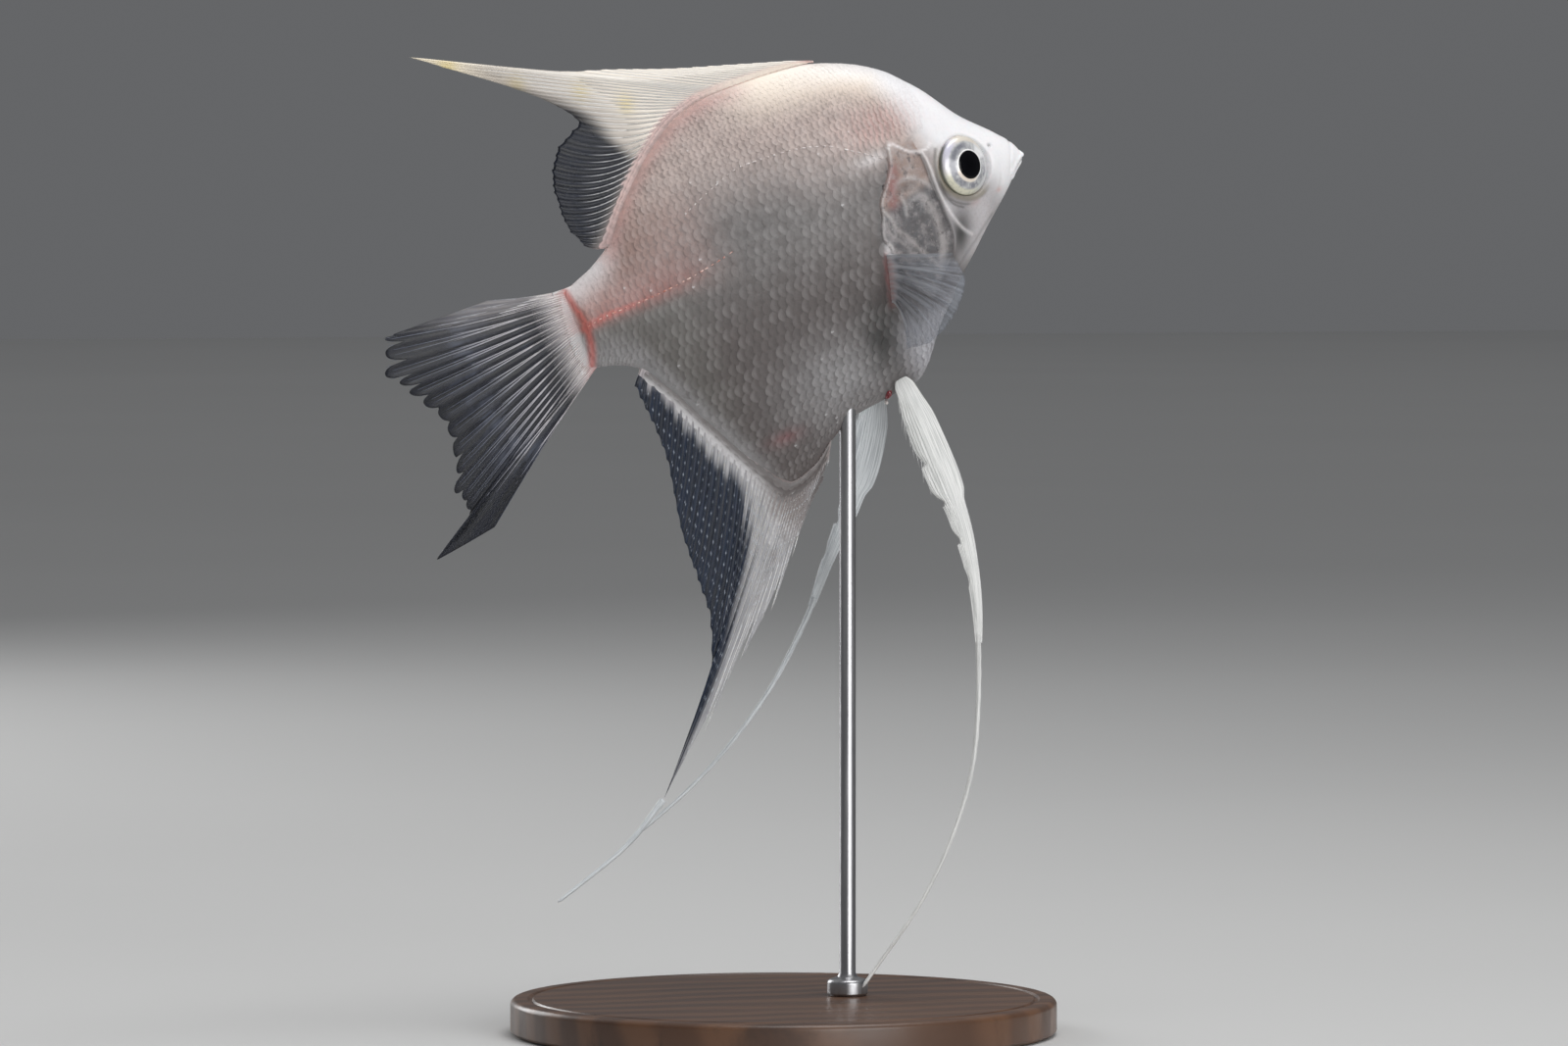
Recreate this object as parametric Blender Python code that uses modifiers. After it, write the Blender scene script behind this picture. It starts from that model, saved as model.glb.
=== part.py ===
"""A freshwater angelfish (Pterophyllum scalare, white platinum form) as a still, life-size museum model.

The fish hangs nose up over a round base, on one rod that runs up into its belly. Lengths are millimetres
and become metres as each mesh is made. A place on the fish is given as (back, side, up): back from the
snout's tip, out to the fish's left, and up from its long axis. The empty fish_pose turns that frame into
the world's, where +X is ahead, +Z is up and the origin is the middle of the base's underside.
"""

import math
from bisect import bisect_right

import bmesh
import bpy
from mathutils import Vector

MM = 0.001
GAP = 0.3  # clearance between neighbours, so that no two solids touch
CUT = 0.4  # width of the cuts that part the body
FAR = 60.0  # reaches past the body from anywhere on it
LEFT = 1
RIGHT = -1
SIDES = {"left": LEFT, "right": RIGHT}

# The stand
BASE_RADIUS = 40.0
BASE_HEIGHT = 5.0
BASE_CHAMFER = 0.9
ROD_RADIUS = 1.2
ROD_AHEAD = 10.0  # of the base's middle, so that the base lies under the whole fish
COLLAR_RADIUS = 3.0
COLLAR_HEIGHT = 2.2
ROD_TOP = 93.8  # over the base's underside, 4 mm inside the belly

# The pose
NOSE_UP = math.radians(20.6)
SNOUT = (37.0, 0.0, 128.3)  # in the world's frame

# The body
LENGTH = 72.0  # from the snout to the root of the tail fin
RINGS = 40
AROUND = 28
TAIL_STALK_FROM = 61.5
EYE = (10.9, 3.9, 2.2)
EYE_RADIUS = 5.0
EYE_DEPTH = 2.6  # half of the eye's thickness, out from the head
EYE_TURN = math.radians(22)  # forward of straight sideways
COVER_INSIDE = 4.4  # the gill covers' flat inner faces lie this far out from the middle

# The fins
FIN_THICKNESS = 0.6
STREAMER_RADII = (0.36, 0.31, 0.26)  # where it leaves the blade, halfway and at its tip
PELVIC_BLADE = {"left": 38.0, "right": 44.0}  # length of the broad part


def smooth(*knots):
    """A function of place that runs through (place, value) knots without overshooting them."""
    places, values = zip(*knots)
    gaps = [b - a for a, b in zip(places, places[1:])]
    rises = [(b - a) / gap for a, b, gap in zip(values, values[1:], gaps)]
    slopes = [rises[0]]
    for before, after in zip(rises, rises[1:]):
        level = before * after <= 0
        slopes.append(0.0 if level else 2 * before * after / (before + after))
    slopes.append(rises[-1])

    def value(place):
        place = min(max(place, places[0]), places[-1])
        i = min(bisect_right(places, place), len(gaps)) - 1
        t = (place - places[i]) / gaps[i]
        near = (1 + 2 * t) * values[i] + t * gaps[i] * slopes[i]
        far = (3 - 2 * t) * values[i + 1] - (1 - t) * gaps[i] * slopes[i + 1]
        return (1 - t) ** 2 * near + t**2 * far

    return value


# The body's outline and girth along its length, as functions of the distance back from the snout
TOP = smooth(
    (0, 0.6), (0.35, 1.7), (2.6, 4.4), (7.3, 9.0), (11.6, 14.7), (16.2, 19.4), (21.5, 22.4),
    (27.1, 24.2), (35, 25.0), (42.3, 25.2), (48.4, 24.1), (53.5, 21.3), (57.6, 17.9), (61.5, 14.0),
    (65, 9.9), (68.2, 8.2), (72, 6.8),
)
BOTTOM = smooth(
    (0, -0.6), (0.35, -1.0), (1.8, -2.1), (3.3, -3.6), (9.1, -8.4), (15.5, -14.2), (20.4, -18.9),
    (26.6, -25.4), (32.5, -26.1), (38, -26.7), (42, -28.6), (47, -31.8), (50.6, -32.6), (54.8, -28.0),
    (59.4, -19.9), (63.5, -12.4), (66.5, -8.2), (69.9, -6.6), (72, -6.0),
)
HALF_WIDTH = smooth(
    (0, 1.0), (1.2, 1.8), (3, 2.9), (6, 4.1), (10, 5.2), (15, 6.2), (20, 6.9), (28, 7.3), (36, 7.0),
    (45, 5.9), (55, 4.3), (62, 3.1), (68, 2.2), (72, 1.6),
)
WIDEST_UP = smooth((0, 0.0), (10, 0.5), (20, 0.5), (35, -1.0), (50, -2.5), (62, 0.5), (72, 0.4))
# How sharply the section narrows to the back's ridge and to the keel: 0.5 is an ellipse, and 1 a wedge
RIDGE = smooth((0, 0.5), (12, 0.52), (24, 0.6), (36, 0.72), (50, 0.8), (64, 0.72), (72, 0.6))
KEEL = smooth((0, 0.5), (15, 0.55), (28, 0.58), (38, 0.75), (50, 1.15), (60, 0.95), (72, 0.6))
# The gill cover's rear edge, and the line along the cheek where it starts, by height
GILL_EDGE = smooth(
    (-19, 15.5), (-17, 17.8), (-15, 20.6), (-12, 24.0), (-7, 26.2), (-2, 25.4), (3, 23.9), (9.6, 21.5),
    (15, 20.0), (30, 18.0),
)
CHEEK_EDGE = smooth((-12.6, 16.4), (-9, 15.2), (-4, 15.3), (0, 16.3), (5, 16.6), (7, 16.9))

# Where the fins' first and last rays leave the body: by distance back, and for the tail fin by height
DORSAL_ROOT = (26.5, 65.2)
ANAL_ROOT = (42.4, 66.4)
TAIL_ROOT = (6.2, -5.6)
# The fins' margins as (share, back, up), from the foremost or uppermost ray to the last
DORSAL_MARGIN = (
    (0, 29.8, 25.7), (0.1, 38.4, 28.3), (0.2, 47, 30.9), (0.3, 55.4, 33.9), (0.36, 62, 36.0),
    (0.4, 83.4, 46.1), (0.46, 75.4, 40.4), (0.52, 66.5, 33.4), (0.6, 62.6, 28.6), (0.68, 66.8, 25.8),
    (0.78, 69.5, 21.4), (0.9, 69.8, 15.5), (1, 68.2, 11.6),
)
ANAL_MARGIN = (
    (0, 43.1, -31.0), (0.1, 48.7, -36.4), (0.18, 54.5, -43.1), (0.25, 61, -49.9), (0.3, 67.6, -54.4),
    (0.36, 76.5, -62.3), (0.42, 84.6, -68.2), (0.48, 79.8, -63.0), (0.55, 71.2, -53.1), (0.62, 68.7, -44.3),
    (0.74, 68.6, -34.2), (0.87, 67.0, -20.9), (1, 68.0, -10.4),
)
TAIL_MARGIN = (
    (0, 84.1, 9.0), (0.07, 101.2, 9.6), (0.2, 102.4, 4.4), (0.36, 99.0, -1.2), (0.52, 97.0, -8.4),
    (0.68, 98.4, -15.5), (0.86, 98.0, -20.4), (0.95, 104.8, -23.4), (1, 94.6, -22.0),
)
# The pelvic fins' middle lines and the anal streamer's, as (back, side, up)
PELVIC_LINE = {
    "right": (
        (29.9, -2.0, -20.5), (29.6, -4.0, -34.0), (29.8, -5.8, -43.0), (31.2, -8.0, -52.5),
        (35.0, -9.5, -64.3), (41.9, -9.9, -79.6), (53.6, -9.2, -93.4), (68.6, -8.0, -103.9),
    ),
    "left": (
        (30.3, 2.0, -21.0), (36.1, 4.2, -32.5), (41.0, 6.0, -39.7), (46.7, 7.7, -46.5),
        (52.4, 8.9, -53.4), (63.3, 10.1, -62.8), (77.0, 10.9, -70.2), (89.6, 11.0, -74.3),
    ),
}
PELVIC_WIDTH = smooth(
    (0, 3.4), (0.13, 4.3), (0.28, 5.1), (0.41, 5.3), (0.48, 4.9), (0.53, 3.5), (0.63, 3.0), (0.77, 2.1),
    (0.91, 1.5), (1, 1.0),
)
ANAL_STREAMER_LINE = ((84.9, 0.6, -68.4), (92.5, 0.9, -72.6), (104.9, 1.4, -76.4))
# The pectoral fin's rays by share from its upper ray to its lower: how far each reaches ahead, out and up
PECTORAL_AHEAD = smooth((0, 6.8), (0.2, 7.1), (0.5, 4.2), (0.8, 0.2), (1, -2.4))
PECTORAL_OUT = smooth((0, 7.0), (0.2, 8.8), (0.5, 10.2), (0.8, 8.4), (1, 5.4))
PECTORAL_UP = smooth((0, -1.8), (0.2, -3.8), (0.5, -6.2), (0.8, -7.4), (1, -6.2))
PECTORAL_ROOT = (27.3, -6.4)
PECTORAL_ROOT_HEIGHT = 6.2


def clear_scene():
    for obj in list(bpy.data.objects):
        bpy.data.objects.remove(obj)


def material(name, colour, roughness, metallic=0.0, alpha=1.0):
    made = bpy.data.materials.new(name)
    made.use_nodes = True
    shader = made.node_tree.nodes["Principled BSDF"]
    shader.inputs["Base Color"].default_value = (*colour, 1.0)
    shader.inputs["Roughness"].default_value = roughness
    shader.inputs["Metallic"].default_value = metallic
    shader.inputs["Alpha"].default_value = alpha
    made.diffuse_color = (*colour, 1.0)
    return made


def fish_point(back, side, up):
    """A place on the fish, in metres in the frame of fish_pose."""
    return Vector((-back, side, up)) * MM


def new_object(name, mesh, collection, parent=None, finish=None):
    obj = bpy.data.objects.new(name, mesh)
    collection.objects.link(obj)
    obj.parent = parent
    if finish and mesh.materials:
        obj.material_slots[0].link = "OBJECT"
        obj.material_slots[0].material = finish
    elif finish:
        mesh.materials.append(finish)
    return obj


def mesh_from(name, bm, is_smooth=True):
    """The mesh that a bmesh holds, with its faces turned outward."""
    bmesh.ops.recalc_face_normals(bm, faces=bm.faces)
    mesh = bpy.data.meshes.new(name)
    bm.to_mesh(mesh)
    bm.free()
    if is_smooth:
        mesh.shade_smooth()
        mesh.set_sharp_from_angle(angle=math.radians(40))
    return mesh


def cutter(name, mesh, collection, parent=None):
    obj = new_object(name, mesh, collection, parent)
    obj.hide_render = True
    obj.display_type = "WIRE"
    return obj


def boolean(obj, operation, other):
    modifier = obj.modifiers.new(f"{operation.lower()}_{other.name}", "BOOLEAN")
    modifier.operation = operation
    modifier.solver = "EXACT"
    modifier.object = other


# Body


def section(back, grow=0.0):
    """The body's ring of points at one distance back: narrow at the ridge and keel, wide between."""
    middle = WIDEST_UP(back)
    ring = []
    for step in range(AROUND):
        angle = math.tau * step / AROUND
        rise = math.sin(angle)
        reach = grow + (TOP(back) - middle if rise > 0 else middle - BOTTOM(back))
        sharpness = RIDGE(back) if rise > 0 else KEEL(back)
        out = (HALF_WIDTH(back) + grow) * abs(math.cos(angle)) ** (2 * sharpness)
        ring.append(fish_point(back, math.copysign(out, math.cos(angle)), middle + reach * rise))
    return ring


def half_width_at(back, up):
    """How far the body's flank stands out from the midplane at a place on its side."""
    middle = WIDEST_UP(back)
    edge = TOP(back) if up > middle else BOTTOM(back)
    sharpness = RIDGE(back) if up > middle else KEEL(back)
    share = min((up - middle) / (edge - middle), 1.0)
    return HALF_WIDTH(back) * (1 - share**2) ** sharpness


def body_mesh(name, grow=0.0):
    """The whole body from the lips to the root of the tail fin, before it is parted."""
    bm = bmesh.new()
    rings = []
    for step in range(RINGS):
        back = LENGTH * (step / (RINGS - 1)) ** 1.35
        rings.append([bm.verts.new(point) for point in section(back, grow)])
    for ring, following in zip(rings, rings[1:]):
        for i in range(AROUND):
            k = (i + 1) % AROUND
            bm.faces.new((ring[i], ring[k], following[k], following[i]))
    lips = bm.verts.new(fish_point(-0.25, 0, -0.1))
    for i in range(AROUND):
        bm.faces.new((lips, rings[0][(i + 1) % AROUND], rings[0][i]))
    bm.faces.new(rings[-1])
    return mesh_from(name, bm)


def slab(name, outline, near, far, collection, pose):
    """A cutter with a flat outline of (back, up) places, reaching sideways from near to far."""
    bm = bmesh.new()
    face = bm.faces.new([bm.verts.new(fish_point(back, near, up)) for back, up in outline])
    grown = bmesh.ops.extrude_face_region(bm, geom=[face])["geom"]
    moved = [item for item in grown if isinstance(item, bmesh.types.BMVert)]
    bmesh.ops.translate(bm, verts=moved, vec=(0, (far - near) * MM, 0))
    return cutter(name, mesh_from(name, bm, is_smooth=False), collection, pose)


def edge_line(edge, low, high, shift=0.0, steps=22):
    """Places (back, up) along an edge that is given by height, from low to high."""
    heights = [low + (high - low) * i / steps for i in range(steps + 1)]
    return [(edge(up) + shift, up) for up in heights]


def head_outline():
    return [*edge_line(GILL_EDGE, -19, 30), (-FAR, 30), (-FAR, -19)]


def trunk_outline():
    front = edge_line(GILL_EDGE, -19, 30, shift=CUT)
    tail = TAIL_STALK_FROM
    return [(front[0][0], -FAR), *front, (front[-1][0], FAR), (tail, FAR), (tail, -FAR)]


def tail_outline():
    return [(TAIL_STALK_FROM + CUT, -FAR), (TAIL_STALK_FROM + CUT, FAR), (LENGTH + 9, FAR), (LENGTH + 9, -FAR)]


def cover_outline(grow=0.0):
    """Ahead of the gill slit and behind the cheek; grow widens it, to clear the cover's place."""
    front = edge_line(CHEEK_EDGE, -12.6, 7, shift=-grow, steps=10)
    low = (front[0][0], front[0][1] - grow)
    return [(FAR, -16 - grow), (20.5, -15 - grow), low, *front, (22.5, 10.2 + grow), (FAR, 10.2 + grow)]


def jaw_outline(grow=0.0):
    """Below the gape, back to the hinge under the nostril; grow widens it."""
    return [(-9, 4.5 + grow), (3.3, -2.1 + grow), (3.3 + grow, -2.1), (6.2 + grow, -8), (-9, -8)]


def body_piece(name, mesh, region, part_list, pose, finish):
    obj = new_object(name, mesh, part_list, pose, finish)
    boolean(obj, "INTERSECT", region)
    return obj


def eye_mesh(name, grow=0.0):
    """A flattened ball with its poles inward and outward."""
    bm = bmesh.new()
    bmesh.ops.create_uvsphere(bm, u_segments=20, v_segments=10, radius=1.0)
    radius = (EYE_RADIUS + grow) * MM
    depth = (EYE_DEPTH + grow) * MM
    bmesh.ops.scale(bm, vec=(radius, radius, depth), verts=bm.verts)
    return mesh_from(name, bm)


def place_eye(obj, side):
    """Turns an eye's outer pole to its own side of the head, a little forward of straight out."""
    back, out, up = EYE
    obj.location = fish_point(back, side * out, up)
    forward = Vector((math.sin(EYE_TURN), side * math.cos(EYE_TURN), 0))
    obj.rotation_euler = forward.to_track_quat("Z", "Y").to_euler()


def make_body(part_list, cutters, pose, finishes):
    whole = body_mesh("body")
    skin = finishes["skin"]
    regions = {
        "head": slab("head_region", head_outline(), -FAR, FAR, cutters, pose),
        "trunk": slab("trunk_region", trunk_outline(), -FAR, FAR, cutters, pose),
        "tail_stalk": slab("tail_region", tail_outline(), -FAR, FAR, cutters, pose),
    }
    pieces = {name: body_piece(name, whole, region, part_list, pose, skin) for name, region in regions.items()}
    head = pieces["head"]
    mouth = slab("jaw_region", jaw_outline(), -FAR, FAR, cutters, pose)
    body_piece("jaw", whole, mouth, part_list, pose, skin)
    boolean(head, "DIFFERENCE", slab("jaw_room", jaw_outline(GAP), -FAR, FAR, cutters, pose))
    for word, side in SIDES.items():
        cheek = slab(f"cover_region_{word}", cover_outline(), side * COVER_INSIDE, side * FAR, cutters, pose)
        cover = body_piece(f"gill_cover_{word}", whole, regions["head"], part_list, pose, skin)
        boolean(cover, "INTERSECT", cheek)
        room = slab(
            f"cover_room_{word}", cover_outline(GAP), side * (COVER_INSIDE - GAP), side * FAR, cutters, pose
        )
        boolean(head, "DIFFERENCE", room)
        eye = new_object(f"eye_{word}", eye_mesh("eye"), part_list, pose, finishes["eye"])
        place_eye(eye, side)
        socket = cutter(f"eye_socket_{word}", eye_mesh("eye_socket", GAP), cutters, pose)
        place_eye(socket, side)
        boolean(head, "DIFFERENCE", socket)
    return pieces


# Fins


def sheet(name, rows, part_list, pose, finish, thickness=FIN_THICKNESS):
    """A fin: an open sheet through rows of (back, side, up) places, given its thickness by Solidify."""
    bm = bmesh.new()
    grid = [[bm.verts.new(fish_point(*place)) for place in row] for row in rows]
    for row, following in zip(grid, grid[1:]):
        for i in range(len(row) - 1):
            bm.faces.new((row[i], row[i + 1], following[i + 1], following[i]))
    obj = new_object(name, mesh_from(name, bm), part_list, pose, finish)
    modifier = obj.modifiers.new("thickness", "SOLIDIFY")
    modifier.thickness = thickness * MM
    modifier.offset = 0.0
    return obj


def between(ends, share):
    return ends[0] + share * (ends[1] - ends[0])


def outline_path(knots):
    """A function from a share along the fin to a (back, up) place on an edge of it."""
    back = smooth(*((share, back) for share, back, _ in knots))
    up = smooth(*((share, up) for share, _, up in knots))
    return lambda share: (back(share), up(share))


def ray_fin(root, margin, rays, notch, bend, steps=4):
    """Rows of places for a fin of straight rays, with the web between two rays cut back by notch."""
    rows = []
    for column in range(2 * rays - 1):
        share = column / (2 * rays - 2)
        root_back, root_up = root(share)
        tip_back, tip_up = margin(share)
        reach = math.dist((root_back, root_up), (tip_back, tip_up))
        length = 1 - notch * (column % 2) / max(reach, 4 * notch)
        row = []
        for step in range(steps + 1):
            out = length * step / steps
            back = between((root_back, tip_back), out)
            row.append((back, bend(share, out), between((root_up, tip_up), out)))
        rows.append(row)
    return rows


def make_dorsal_fin(part_list, pose, finish):
    def root(share):
        back = between(DORSAL_ROOT, share)
        return back, TOP(back) + GAP

    def bend(share, out):
        return 0.9 * out**2 * math.sin(math.pi * share)

    rows = ray_fin(root, outline_path(DORSAL_MARGIN), 24, 0.5, bend, steps=3)
    sheet("dorsal_fin", rows, part_list, pose, finish)


def make_anal_fin(part_list, pose, finish):
    def root(share):
        back = between(ANAL_ROOT, share)
        return back, BOTTOM(back) - GAP

    def bend(share, out):
        return 0.7 * out**2 * math.sin(math.pi * share)

    rows = ray_fin(root, outline_path(ANAL_MARGIN), 22, 0.5, bend)
    sheet("anal_fin", rows, part_list, pose, finish)


def make_tail_fin(part_list, pose, finish):
    def root(share):
        return LENGTH + CUT, between(TAIL_ROOT, share)

    def bend(share, out):
        return 1.6 * out**2 - 0.4 * out * math.sin(math.tau * share)

    rows = ray_fin(root, outline_path(TAIL_MARGIN), 15, 1.0, bend)
    sheet("tail_fin", rows, part_list, pose, finish)


def make_pectoral_fin(word, side, part_list, pose, finish, rays=9, steps=4):
    rows = []
    for ray in range(rays):
        share = ray / (rays - 1)
        back = PECTORAL_ROOT[0] + share
        up = PECTORAL_ROOT[1] - PECTORAL_ROOT_HEIGHT * share
        root_out = half_width_at(back, up) + 2 * GAP
        row = []
        for step in range(steps + 1):
            out = step / steps
            sideways = root_out + PECTORAL_OUT(share) * math.sin(out * math.pi / 2)
            row.append((back - PECTORAL_AHEAD(share) * out**1.3, side * sideways, up + PECTORAL_UP(share) * out**1.3))
        rows.append(row)
    sheet(f"pectoral_fin_{word}", rows, part_list, pose, finish, thickness=0.5)


def track(points):
    """A smooth line through places in space, by distance along it, and its length."""
    along = [0.0]
    for before, after in zip(points, points[1:]):
        along.append(along[-1] + math.dist(before, after))
    axes = [smooth(*zip(along, values)) for values in zip(*points)]
    return lambda distance: tuple(axis(distance) for axis in axes), along[-1]


def pelvic_rows(line, blade, across=4, steps=20):
    """Rows along a pelvic fin's blade, each running across it from its front edge to its rear edge."""
    rows = []
    for step in range(steps + 1):
        share = step / steps
        back, out, up = line(share * blade)
        ahead = line(share * blade + 0.5)
        behind = line(max(share * blade - 0.5, 0))
        run = Vector((ahead[0] - behind[0], 0, ahead[2] - behind[2])).normalized()
        half = PELVIC_WIDTH(share) / 2
        row = []
        for k in range(across + 1):
            place = 2 * k / across - 1
            cup = 0.5 * (1 - place**2) * math.copysign(half / 2.6, out)
            row.append((back - run.z * half * place, out + cup, up + run.x * half * place))
        rows.append(row)
    return rows


def streamer(name, line, start, end, radii, part_list, pose, finish, step=1.8):
    """A length of a fin's trailing filament: a tapered tube along a line."""
    curve = bpy.data.curves.new(name, "CURVE")
    curve.dimensions = "3D"
    curve.bevel_depth = MM
    curve.bevel_resolution = 1
    curve.use_fill_caps = True
    count = max(round((end - start) / step), 2)
    spline = curve.splines.new("POLY")
    spline.points.add(count)
    for i, point in enumerate(spline.points):
        share = i / count
        point.co = (*fish_point(*line(between((start, end), share))), 1)
        point.radius = between(radii, share)
    new_object(name, curve, part_list, pose, finish)


def make_pelvic_fin(word, part_list, pose, finish, belly):
    line, length = track(PELVIC_LINE[word])
    blade = PELVIC_BLADE[word]
    middle = (blade + length) / 2
    fin = sheet(f"pelvic_fin_{word}", pelvic_rows(line, blade), part_list, pose, finish)
    boolean(fin, "DIFFERENCE", belly)
    upper, lower = f"pelvic_streamer_{word}_upper", f"pelvic_streamer_{word}_lower"
    streamer(upper, line, blade + CUT, middle, STREAMER_RADII[:2], part_list, pose, finish)
    streamer(lower, line, middle + CUT, length, STREAMER_RADII[1:], part_list, pose, finish)


def make_anal_streamer(part_list, pose, finish):
    line, length = track(ANAL_STREAMER_LINE)
    streamer("anal_streamer", line, 0.0, length, (0.5, 0.26), part_list, pose, finish)


# Stand


def turned(name, profile, steps=48):
    """A turned mesh: a profile of (radius, height) from the top's middle down to the bottom's."""
    bm = bmesh.new()
    verts = [bm.verts.new(Vector((radius, 0, height)) * MM) for radius, height in profile]
    for upper, lower in zip(verts, verts[1:]):
        bm.edges.new((upper, lower))
    bmesh.ops.spin(bm, geom=bm.verts[:] + bm.edges[:], axis=(0, 0, 1), cent=(0, 0, 0),
                   angle=math.tau, steps=steps)
    bmesh.ops.remove_doubles(bm, verts=bm.verts, dist=0.001 * MM)
    return mesh_from(name, bm)


def make_stand(part_list, finishes):
    foot = BASE_CHAMFER / 2
    base_profile = (
        (0, BASE_HEIGHT), (BASE_RADIUS - BASE_CHAMFER, BASE_HEIGHT), (BASE_RADIUS, BASE_HEIGHT - BASE_CHAMFER),
        (BASE_RADIUS, foot), (BASE_RADIUS - foot, 0), (0, 0),
    )
    new_object("stand_base", turned("stand_base", base_profile), part_list, None, finishes["base"])
    seat = BASE_HEIGHT + GAP
    rod_profile = (
        (0, ROD_TOP), (ROD_RADIUS - 0.3, ROD_TOP), (ROD_RADIUS, ROD_TOP - 0.3),
        (ROD_RADIUS, seat + COLLAR_HEIGHT), (COLLAR_RADIUS - 0.8, seat + COLLAR_HEIGHT),
        (COLLAR_RADIUS, seat + COLLAR_HEIGHT / 2), (COLLAR_RADIUS, seat), (0, seat),
    )
    rod = new_object("stand_rod", turned("stand_rod", rod_profile, steps=24), part_list, None, finishes["rod"])
    rod.location.x = ROD_AHEAD * MM


def drill_belly(trunk, cutters):
    """The blind hole that the rod runs up into."""
    bm = bmesh.new()
    hole_radius = (ROD_RADIUS + GAP) * MM
    depth = 20 * MM
    bmesh.ops.create_cone(bm, cap_ends=True, segments=24, radius1=hole_radius, radius2=hole_radius, depth=depth)
    hole = cutter("rod_hole", mesh_from("rod_hole", bm), cutters)
    hole.location = (ROD_AHEAD * MM, 0, (ROD_TOP + GAP) * MM - depth / 2)
    boolean(trunk, "DIFFERENCE", hole)


def main():
    clear_scene()
    scene = bpy.context.scene
    part_list = bpy.data.collections.new("freshwater_angelfish")
    cutters = bpy.data.collections.new("cutters")
    scene.collection.children.link(part_list)
    scene.collection.children.link(cutters)
    pose = bpy.data.objects.new("fish_pose", None)
    pose.location = Vector(SNOUT) * MM
    pose.rotation_euler = (0, -NOSE_UP, 0)
    part_list.objects.link(pose)
    finishes = {
        "skin": material("skin", (0.52, 0.45, 0.43), 0.4),
        "eye": material("eye", (0.30, 0.31, 0.32), 0.15),
        "fin": material("fin", (0.62, 0.64, 0.66), 0.45, alpha=0.9),
        "base": material("base", (0.045, 0.03, 0.02), 0.45),
        "rod": material("rod", (0.55, 0.55, 0.56), 0.3, metallic=1.0),
    }
    pieces = make_body(part_list, cutters, pose, finishes)
    fin = finishes["fin"]
    make_dorsal_fin(part_list, pose, fin)
    make_anal_fin(part_list, pose, fin)
    make_anal_streamer(part_list, pose, fin)
    make_tail_fin(part_list, pose, fin)
    belly = cutter("belly_room", body_mesh("belly_room", GAP), cutters, pose)
    for word, side in SIDES.items():
        make_pectoral_fin(word, side, part_list, pose, fin)
        make_pelvic_fin(word, part_list, pose, fin, belly)
    make_stand(part_list, finishes)
    drill_belly(pieces["trunk"], cutters)


main()
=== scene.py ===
"""The looks of a freshwater angelfish, a still life-size model on a plain display stand.

Lengths on the fish are in millimetres in the fish's own frame: back from the snout, side (its left is
positive) and up from its axis. Lights, camera and stand are in metres in the row's frame.
"""

import math
from functools import partial

import bpy
import numpy as np
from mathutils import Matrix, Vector


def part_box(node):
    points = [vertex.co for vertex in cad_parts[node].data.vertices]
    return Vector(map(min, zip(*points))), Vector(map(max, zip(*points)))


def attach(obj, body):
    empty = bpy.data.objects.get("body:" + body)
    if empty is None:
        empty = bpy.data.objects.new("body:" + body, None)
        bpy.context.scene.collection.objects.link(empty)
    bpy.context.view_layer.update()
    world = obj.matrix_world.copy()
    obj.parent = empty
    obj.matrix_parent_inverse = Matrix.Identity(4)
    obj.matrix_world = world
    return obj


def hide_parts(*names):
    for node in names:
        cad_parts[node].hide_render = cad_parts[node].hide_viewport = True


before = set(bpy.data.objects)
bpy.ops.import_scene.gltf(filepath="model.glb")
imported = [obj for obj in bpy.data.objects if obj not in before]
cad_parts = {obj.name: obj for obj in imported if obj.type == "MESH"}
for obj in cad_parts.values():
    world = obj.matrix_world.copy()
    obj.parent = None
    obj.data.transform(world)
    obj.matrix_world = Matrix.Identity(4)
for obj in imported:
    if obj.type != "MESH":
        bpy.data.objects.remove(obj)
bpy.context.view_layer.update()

MM = 0.001
BODY = "root"
SIDES = {"left": 1, "right": -1}
TAU = math.tau
FAR = 99.0  # the distance of places that are too far from a line to matter

# The pose, from the frame: the eyes' middle and how far the nose points up
NOSE_UP = math.radians(20.6)
EYE = (10.9, 3.9, 2.2)
EYE_TURN = math.radians(22)
EYE_RADIUS = 5.0
EYE_DEPTH = 2.6

# The coat of scales
COAT = 0.15  # the skin lies this far inside the solids where scales cover it
SCALES_FROM = 9.0
SCALES_TO = 74.6
SCALES_END = 72.6  # no scale's root lies behind this
COVER_HIGH = 9.6  # below this the scales begin behind the gill cover, and above it behind the brow
GIRTH = 46.0  # the chart of one side reaches this far up and down from the axis

# How far back each part of the head's work goes, and the body's length
HEAD_RINGS_END = 27.5
HEAD_MARKS_END = 28.5
HEAD_RELIEF_END = 30.0
LENGTH = 72.0
TAIL_WRAP = 3.0  # the skin runs on this far over the root of the tail fin


# Numbers and curves


def smooth(*knots):
    """A function of place, for numbers or arrays, through (place, value) knots without overshooting them."""
    places, values = np.array(knots, float).T
    gaps = np.diff(places)
    rises = np.diff(values) / gaps
    product = rises[:-1] * rises[1:]
    total = np.where(product > 0, rises[:-1] + rises[1:], 1.0)
    slopes = np.concatenate([rises[:1], np.where(product > 0, 2 * product / total, 0.0), rises[-1:]])

    def value(place):
        place = np.clip(place, places[0], places[-1])
        i = np.clip(np.searchsorted(places, place, side="right") - 1, 0, len(gaps) - 1)
        t = (place - places[i]) / gaps[i]
        near = (1 + 2 * t) * values[i] + t * gaps[i] * slopes[i]
        far = (3 - 2 * t) * values[i + 1] - (1 - t) * gaps[i] * slopes[i + 1]
        return (1 - t) ** 2 * near + t**2 * far

    return value


def ramp(value, start, end):
    """0 before start and 1 after end, with an even curve between."""
    share = np.clip((value - start) / (end - start), 0, 1)
    return share * share * (3 - 2 * share)


def hump(value, width):
    return np.exp(-((value / width) ** 2))


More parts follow.
